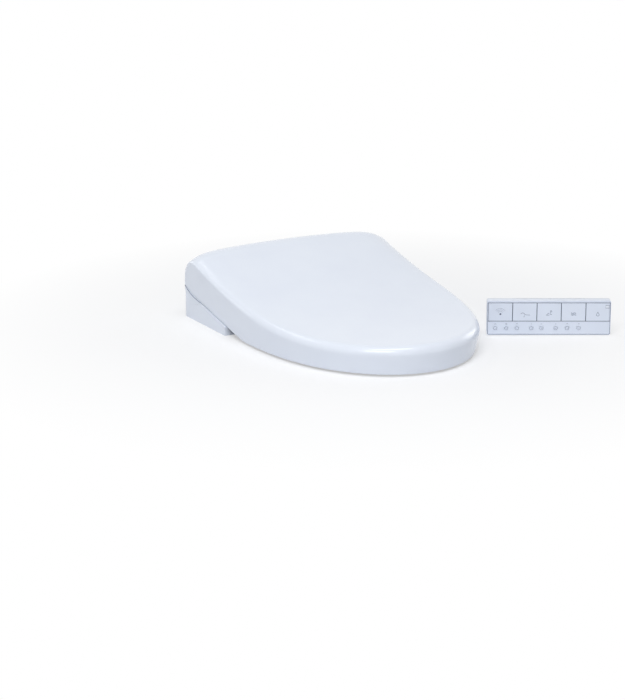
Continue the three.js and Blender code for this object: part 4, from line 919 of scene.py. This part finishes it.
def ink_bands(name, lines, node, base, width=mm(0.5), proud=mm(0.06), axes=(ACROSS, OUTWARD),
              finish_name="ink"):
    """Bands of ink, and of painted shade, along lines of points (across, upwards) on a face at the height base, as
    one piece.
    """
    across, outward = axes
    points, faces = [], []
    for line in lines:
        line = np.array(line)
        closed = np.allclose(line[0], line[-1])
        if closed:
            line = line[:-1]
        ahead, back = np.roll(line, -1, 0), np.roll(line, 1, 0)
        if not closed:
            ahead[-1], back[0] = line[-1], line[0]
        run = ahead - back
        side = np.stack([-run[:, 1], run[:, 0]], 1) / np.linalg.norm(run, axis=1)[:, None] * width / 2
        start, count = len(points), len(line)
        for p, q in zip(line, side):
            for place, height in ((p - q, -INK_ROOT), (p - q, proud), (p + q, proud), (p + q, -INK_ROOT)):
                spot = across * place[0] + outward * (base + height)
                points.append((spot[0], spot[1], place[1]))
        faces += strip(count, 4, start, closed=True, looped=closed)
        if not closed:
            last = start + 4 * (count - 1)
            faces += [tuple(range(start, start + 4)), tuple(range(last + 3, last - 1, -1))]
    mesh = mesh_from(name, points, faces, merge=SLIVER)
    mesh.materials.append(finish[finish_name])
    obj = in_scene(name, mesh)
    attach(obj, body_of_node[node])


def arc(centre, radius, start, end, steps=14):
    """Points of an arc about a centre, from one angle to another in degrees."""
    angles = np.radians(np.linspace(start, end, steps))
    return [(centre[0] + radius * cos(a), centre[1] + radius * sin(a)) for a in angles]


def about(middle, lines, up=0.0):
    """Lines in millimetres about a middle, moved to their place on the face."""
    return [[(middle[0] + mm(x), middle[1] + mm(up + y)) for x, y in line] for line in lines]


print("remote face", [round(v * 1000, 1) for v in remote_span("remote_front")[1]])

# %% [markdown]
# The narrow joints round the large keys look like thin dark lines, because little light gets into them. A
# strip of dark blue-grey painted shade gives that line its full width. A grey line follows the face's rim
# on the left, the bottom and the right: partly the joint where it meets the case, partly painted shade along
# the rounded edge. The last key has a small light tab at its upper corner, which shows that the remote is
# sending.

# %% Joints, rim and tab of the remote
face_low, face_high = remote_span("remote_front")
first, last = remote_span("wash_key_1")[0], remote_span("wash_key_5")[1]
row_low, row_high = first[1] - mm(0.5), last[1] + mm(0.5)
joint_lines = [[(face_low[0] + mm(0.9), z), (face_high[0] - mm(0.9), z)] for z in (row_low, row_high)]
for number in range(1, 5):
    here, after = remote_span(f"wash_key_{number}")[1][0], remote_span(f"wash_key_{number + 1}")[0][0]
    joint_lines.append([((here + after) / 2, row_low), ((here + after) / 2, row_high)])
ink_bands("key_joints", joint_lines, "remote_front", face_high[2], mm(1.0), mm(0.05),
          finish_name="joint_film")

# The rim line is partly the joint with the case and partly painted shade along the remote's rounded edge.
RIM_ROUND = mm(2)
left, right, foot = face_low[0] + mm(1.1), face_high[0] - mm(1.1), face_low[1] + mm(1.1)
rim_top = face_high[1] - mm(4)
rim = [(left, rim_top), *arc((left + RIM_ROUND, foot + RIM_ROUND), RIM_ROUND, 180, 270, 7),
       *arc((right - RIM_ROUND, foot + RIM_ROUND), RIM_ROUND, 270, 360, 7), (right, rim_top)]
ink_bands("face_rim", [rim], "remote_front", face_high[2], mm(0.8), mm(0.05))

key_height = last[2]
left, right = last[0] - mm(6.8), last[0] - mm(0.6)
foot, top = last[1] - mm(8.4), last[1] - mm(3.6)
tab_box = [(left, foot), (right, foot), (right, top), (left, top), (left, foot)]
ink_bands("tab_outline", [tab_box], "wash_key_5", key_height, mm(0.7))
tab_line = [(left, (foot + top) / 2), (right, (foot + top) / 2)]
ink_bands("sending_tab", [tab_line], "wash_key_5", key_height, mm(4.2), mm(0.12), finish_name="gloss_white")

# %% [markdown]
# The large keys' signs, in millimetres about each key's middle: a dot under two arcs for stop, a low curve
# for the rear wash, a small figure over dots for the front wash, three waves for the dryer and a drop for
# the wash arm's own rinse. Dots are very short bands, closed round.

# %% Signs of the large keys
def dot(x, y, radius=0.5):
    return arc((x, y), radius, 0, 360, 9)


def wave(y, half=4.2, height=0.55):
    return [(x, y + height * sin(x / half * pi * 1.5)) for x in np.linspace(-half, half, 19)]


drop_sign = [(3.3 * sin(t) * sin(t / 2) ** 1.5, -3.4 + 3.5 * cos(t))
             for t in np.linspace(0, 2 * pi, 27)]
WASH_SIGNS = [
    [dot(0, -3.5, 0.45), dot(0, -3.5, 0.95), dot(0, -3.5, 1.4)],
    [arc((-3.4, -5.0), 3.6, 35, 150), arc((2.2, -1.4), 3.4, 205, 275), [(2.5, -4.8), (5.5, -5.1), (9, -5.2)],
     dot(-0.4, -6.6, 0.3), dot(-1.2, -8.2, 0.3)],
    [arc((3.2, 1.4), 1.3, 0, 360), [(2.6, -0.3), (1.6, -2.4), (1.8, -3.9), (4.6, -4.4)], dot(-1.2, -2.0, 0.3),
     dot(-2.4, -3.3, 0.3), dot(-3.6, -4.6, 0.3), [(-5.4, -5.2), (-1.6, -5.4), (0.6, -5.0)]],
    [wave(-1.6), wave(-3.4), wave(-5.2)],
    [drop_sign],
]
for number, sign in enumerate(WASH_SIGNS, 1):
    node = f"wash_key_{number}"
    low, high = remote_span(node)
    middle = (low + high) / 2
    ink_bands(f"wash_sign_{number}", about(middle, sign), node, high[2], width=mm(0.6))
    if number == 1:
        fans = [arc(middle[:2] - (0, mm(3.5)), mm(reach), 35, 145) for reach in (5, 7.5, 10)]
        ink_bands("wash_fan", fans, node, high[2], width=mm(0.25))

# %% [markdown]
# Each small key has a ring near its edge, and inside it a sign for less, more, or a place forwards or back.
# The marks above them are on the remote's own face.

# %% Signs of the small keys
FINE_LINE, MARK_ABOVE = mm(0.42), 7.2
KEY_RING = arc((0, 0), 2.75, 0, 360, 29)
MINUS = [[(-1.1, 0), (1.1, 0)]]
PLUS = MINUS + [[(0, -1.1), (0, 1.1)]]
RISE = [[(-1.0, -0.5), (0, 0.6), (1.0, -0.5)]]
FALL = [[(-1.0, 0.5), (0, -0.6), (1.0, 0.5)]]
DOT = [dot(0, 0, 0.35)]
SMALL_SIGNS = [DOT, DOT, DOT, MINUS, PLUS, FALL, RISE, DOT]
SMALL_MARKS = [
    [wave(0, 1.8, 0.35)], [[(-1.5, 0.6), (1.5, 0.6)], [(-1.5, -0.6), (1.5, -0.6)]],
    [arc((0, -0.6), 1.3, 20, 160)], [[(0, 0.9), (0, -0.9)]], [[(-1.6, 0), (1.6, 0)]],
    [[(-0.5, 0.8), (0.4, 0), (-0.5, -0.8)]], [arc((0, -0.9), 1.6, 30, 150)],
    [[(-1.4, -0.7), (0.2, 0.8), (1.4, 0.3)]],
]
marks = []
for number, (sign, mark) in enumerate(zip(SMALL_SIGNS, SMALL_MARKS), 1):
    node = f"small_key_{number}"
    low, high = remote_span(node)
    middle = (low + high) / 2
    ink_bands(f"small_sign_{number}", about(middle, [KEY_RING] + sign), node, high[2], width=FINE_LINE)
    marks += about(middle, mark, up=MARK_ABOVE)
ink_bands("face_marks", marks, "remote_front", face_high[2], width=FINE_LINE)

# %% [markdown]
# The power key on the unit's right side carries the usual sign, a ring that is open at the top with a
# stroke in the gap. The battery door has grip ridges at its upper end, where a thumb pushes it.

# %% Power sign and door ridges
low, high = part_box("power_button")
middle = ((low.y + high.y) / 2, (low.z + high.z) / 2)
power_sign = about(middle, [arc((0, 0), 2.4, 125, 415, 23), [(0, 0.6), (0, 3.2)]])
ink_bands("power_sign", power_sign, "power_button", high.x, mm(0.55),
          axes=(np.array(BACK), np.array(RIGHT)))
low, high = remote_span("battery_cover")
spot = ACROSS * (low[0] + high[0]) / 2 + OUTWARD * low[2] + np.array([0, 0, high[1] - mm(7)])
key_bars = bar_row("key_bars", finish["inner_grey"])
place_row("door_ridges", key_bars, "battery_cover", "inner_grey", spot, (0, 0, 1), -OUTWARD,
          (4, 2.2, 34, 1.0, 0.5, 0.3))

# %% [markdown]
# ## The camera, the floor and the light
# The camera stands well back and looks down a little, from the front and left, with a long lens. The floor
# is a pale sheet at the height of the bowl's rim. Five soft lamps and an even sky light the piece about as
# a light tent in a studio does.

# %% Camera
SCENE = bpy.context.scene
CAMERA_PLACE, CAMERA_AIM = (-1.9766, -3.5728, 1.1110), (0.4721, 0.8360, -0.2797)
LENS_MM, SENSOR_MM = 122.57, 36

lens = bpy.data.cameras.new("camera")
lens.sensor_fit = "VERTICAL"
lens.sensor_height, lens.lens, lens.clip_end = SENSOR_MM, LENS_MM, 100
camera = in_scene("camera", lens)
camera.location = CAMERA_PLACE
camera.rotation_euler = Vector(CAMERA_AIM).to_track_quat("-Z", "Y").to_euler()
SCENE.camera = camera
print("camera", round(Vector(CAMERA_PLACE).length, 3), "m from the origin")

# %% [markdown]
# The floor and the sky have to look white or nearly so without more light on the piece. A Light Path node
# tells which rays come straight from the camera, off a gloss or through a clear piece: those see a plain
# white, and all others the true floor or sky. Near the piece the floor keeps some of its own shade, so that
# the soft shadow shows.

# %% Floor
FLOOR_REACH = 30
SHADOW_MIDDLE, SHADOW_NEAR, SHADOW_FAR = (0.05, -0.2, 0.0), 0.25, 0.75


def sees_white(tree):
    """1 for the rays that see plain white: straight from the camera, off a gloss or through a clear piece."""
    path = add(tree, "ShaderNodeLightPath").outputs
    either = add(tree, "ShaderNodeMath", {"operation": "MAXIMUM"},
                 {0: path["Is Camera Ray"], 1: path["Is Glossy Ray"]})
    return add(tree, "ShaderNodeMath", {"operation": "MAXIMUM"}, {0: either, 1: path["Is Transmission Ray"]})


floor_mesh = bpy.data.meshes.new("floor")
corners = [(x * FLOOR_REACH, y * FLOOR_REACH, 0) for x, y in ((-1, -1), (1, -1), (1, 1), (-1, 1))]
floor_mesh.from_pydata(corners, [], [(0, 1, 2, 3)])
floor_paint, tree, place = new_material("floor_paint")
matt = add(tree, "ShaderNodeBsdfDiffuse", {"Color": linear("f4f5f7")})
glow = add(tree, "ShaderNodeEmission", {"Color": linear("ffffff"), "Strength": 1.0})
away = add(tree, "ShaderNodeVectorMath", {"operation": "DISTANCE", 1: SHADOW_MIDDLE}, {0: place})
share = add(tree, "ShaderNodeMapRange",
            {"From Min": SHADOW_NEAR, "From Max": SHADOW_FAR, "To Min": 0.45, "To Max": 1.0},
            {"Value": away.outputs["Value"]})
factor = add(tree, "ShaderNodeMath", {"operation": "MULTIPLY"}, {0: sees_white(tree), 1: share})
both = add(tree, "ShaderNodeMixShader", {}, {0: factor, 1: matt, 2: glow})
add(tree, "ShaderNodeOutputMaterial", {}, {"Surface": both})
floor_mesh.materials.append(floor_paint)
in_scene("floor", floor_mesh)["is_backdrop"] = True
print("floor", FLOOR_REACH * 2, "m across")

# %% Light
SEAT_MIDDLE, UNIT_MIDDLE = (0, -0.2, 0), (0, -0.1, 0.05)


def softbox(name, place, aim, size, power):
    """A rectangular lamp at a place, turned to a point."""
    data = bpy.data.lights.new(name, "AREA")
    data.shape, data.energy = "RECTANGLE", power
    data.size, data.size_y = size
    lamp = in_scene(name, data)
    lamp.location = place
    lamp.rotation_euler = (Vector(aim) - Vector(place)).to_track_quat("-Z", "Y").to_euler()


softbox("front_lamp", (-1.5, -2.0, 2.3), SEAT_MIDDLE, (1.6, 1.0), 40)
softbox("top_lamp", (-0.2, -0.9, 2.3), SEAT_MIDDLE, (1.4, 0.6), 19)
softbox("edge_lamp", (-0.95, 0.95, 2.0), SEAT_MIDDLE, (1.3, 0.3), 4)
softbox("side_lamp", (2.5, 0.5, 0.9), UNIT_MIDDLE, (1.2, 1.0), 8)
softbox("rear_lamp", (-1.3, 2.4, 0.9), UNIT_MIDDLE, (1.5, 1.0), 9)

SCENE.world = bpy.data.worlds.new("light_tent")
SCENE.world.use_nodes = True
tree = SCENE.world.node_tree
tree.nodes.clear()
sky = add(tree, "ShaderNodeBackground", {"Color": linear("f4f6fa"), "Strength": 0.28})
white = add(tree, "ShaderNodeBackground", {"Color": linear("ffffff"), "Strength": 1.0})
both = add(tree, "ShaderNodeMixShader", {}, {0: sees_white(tree), 1: sky, 2: white})
add(tree, "ShaderNodeOutputWorld", {}, {"Surface": both})
SCENE.view_settings.view_transform = "Standard"
print("lamps", len(bpy.data.lights))

# %% [markdown]
# ## The end
# The CAD nodes that stay in sight, such as the wand's tip, take the finish of their slot too. The size of the
# visual model's box is printed.

# %% Finish
for name, obj in nodes.items():
    obj.data.materials.clear()
    obj.data.materials.append(finish[slot_of_node[name]])
low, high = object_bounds()
print("visual size", [round(v, 4) for v in high - low])
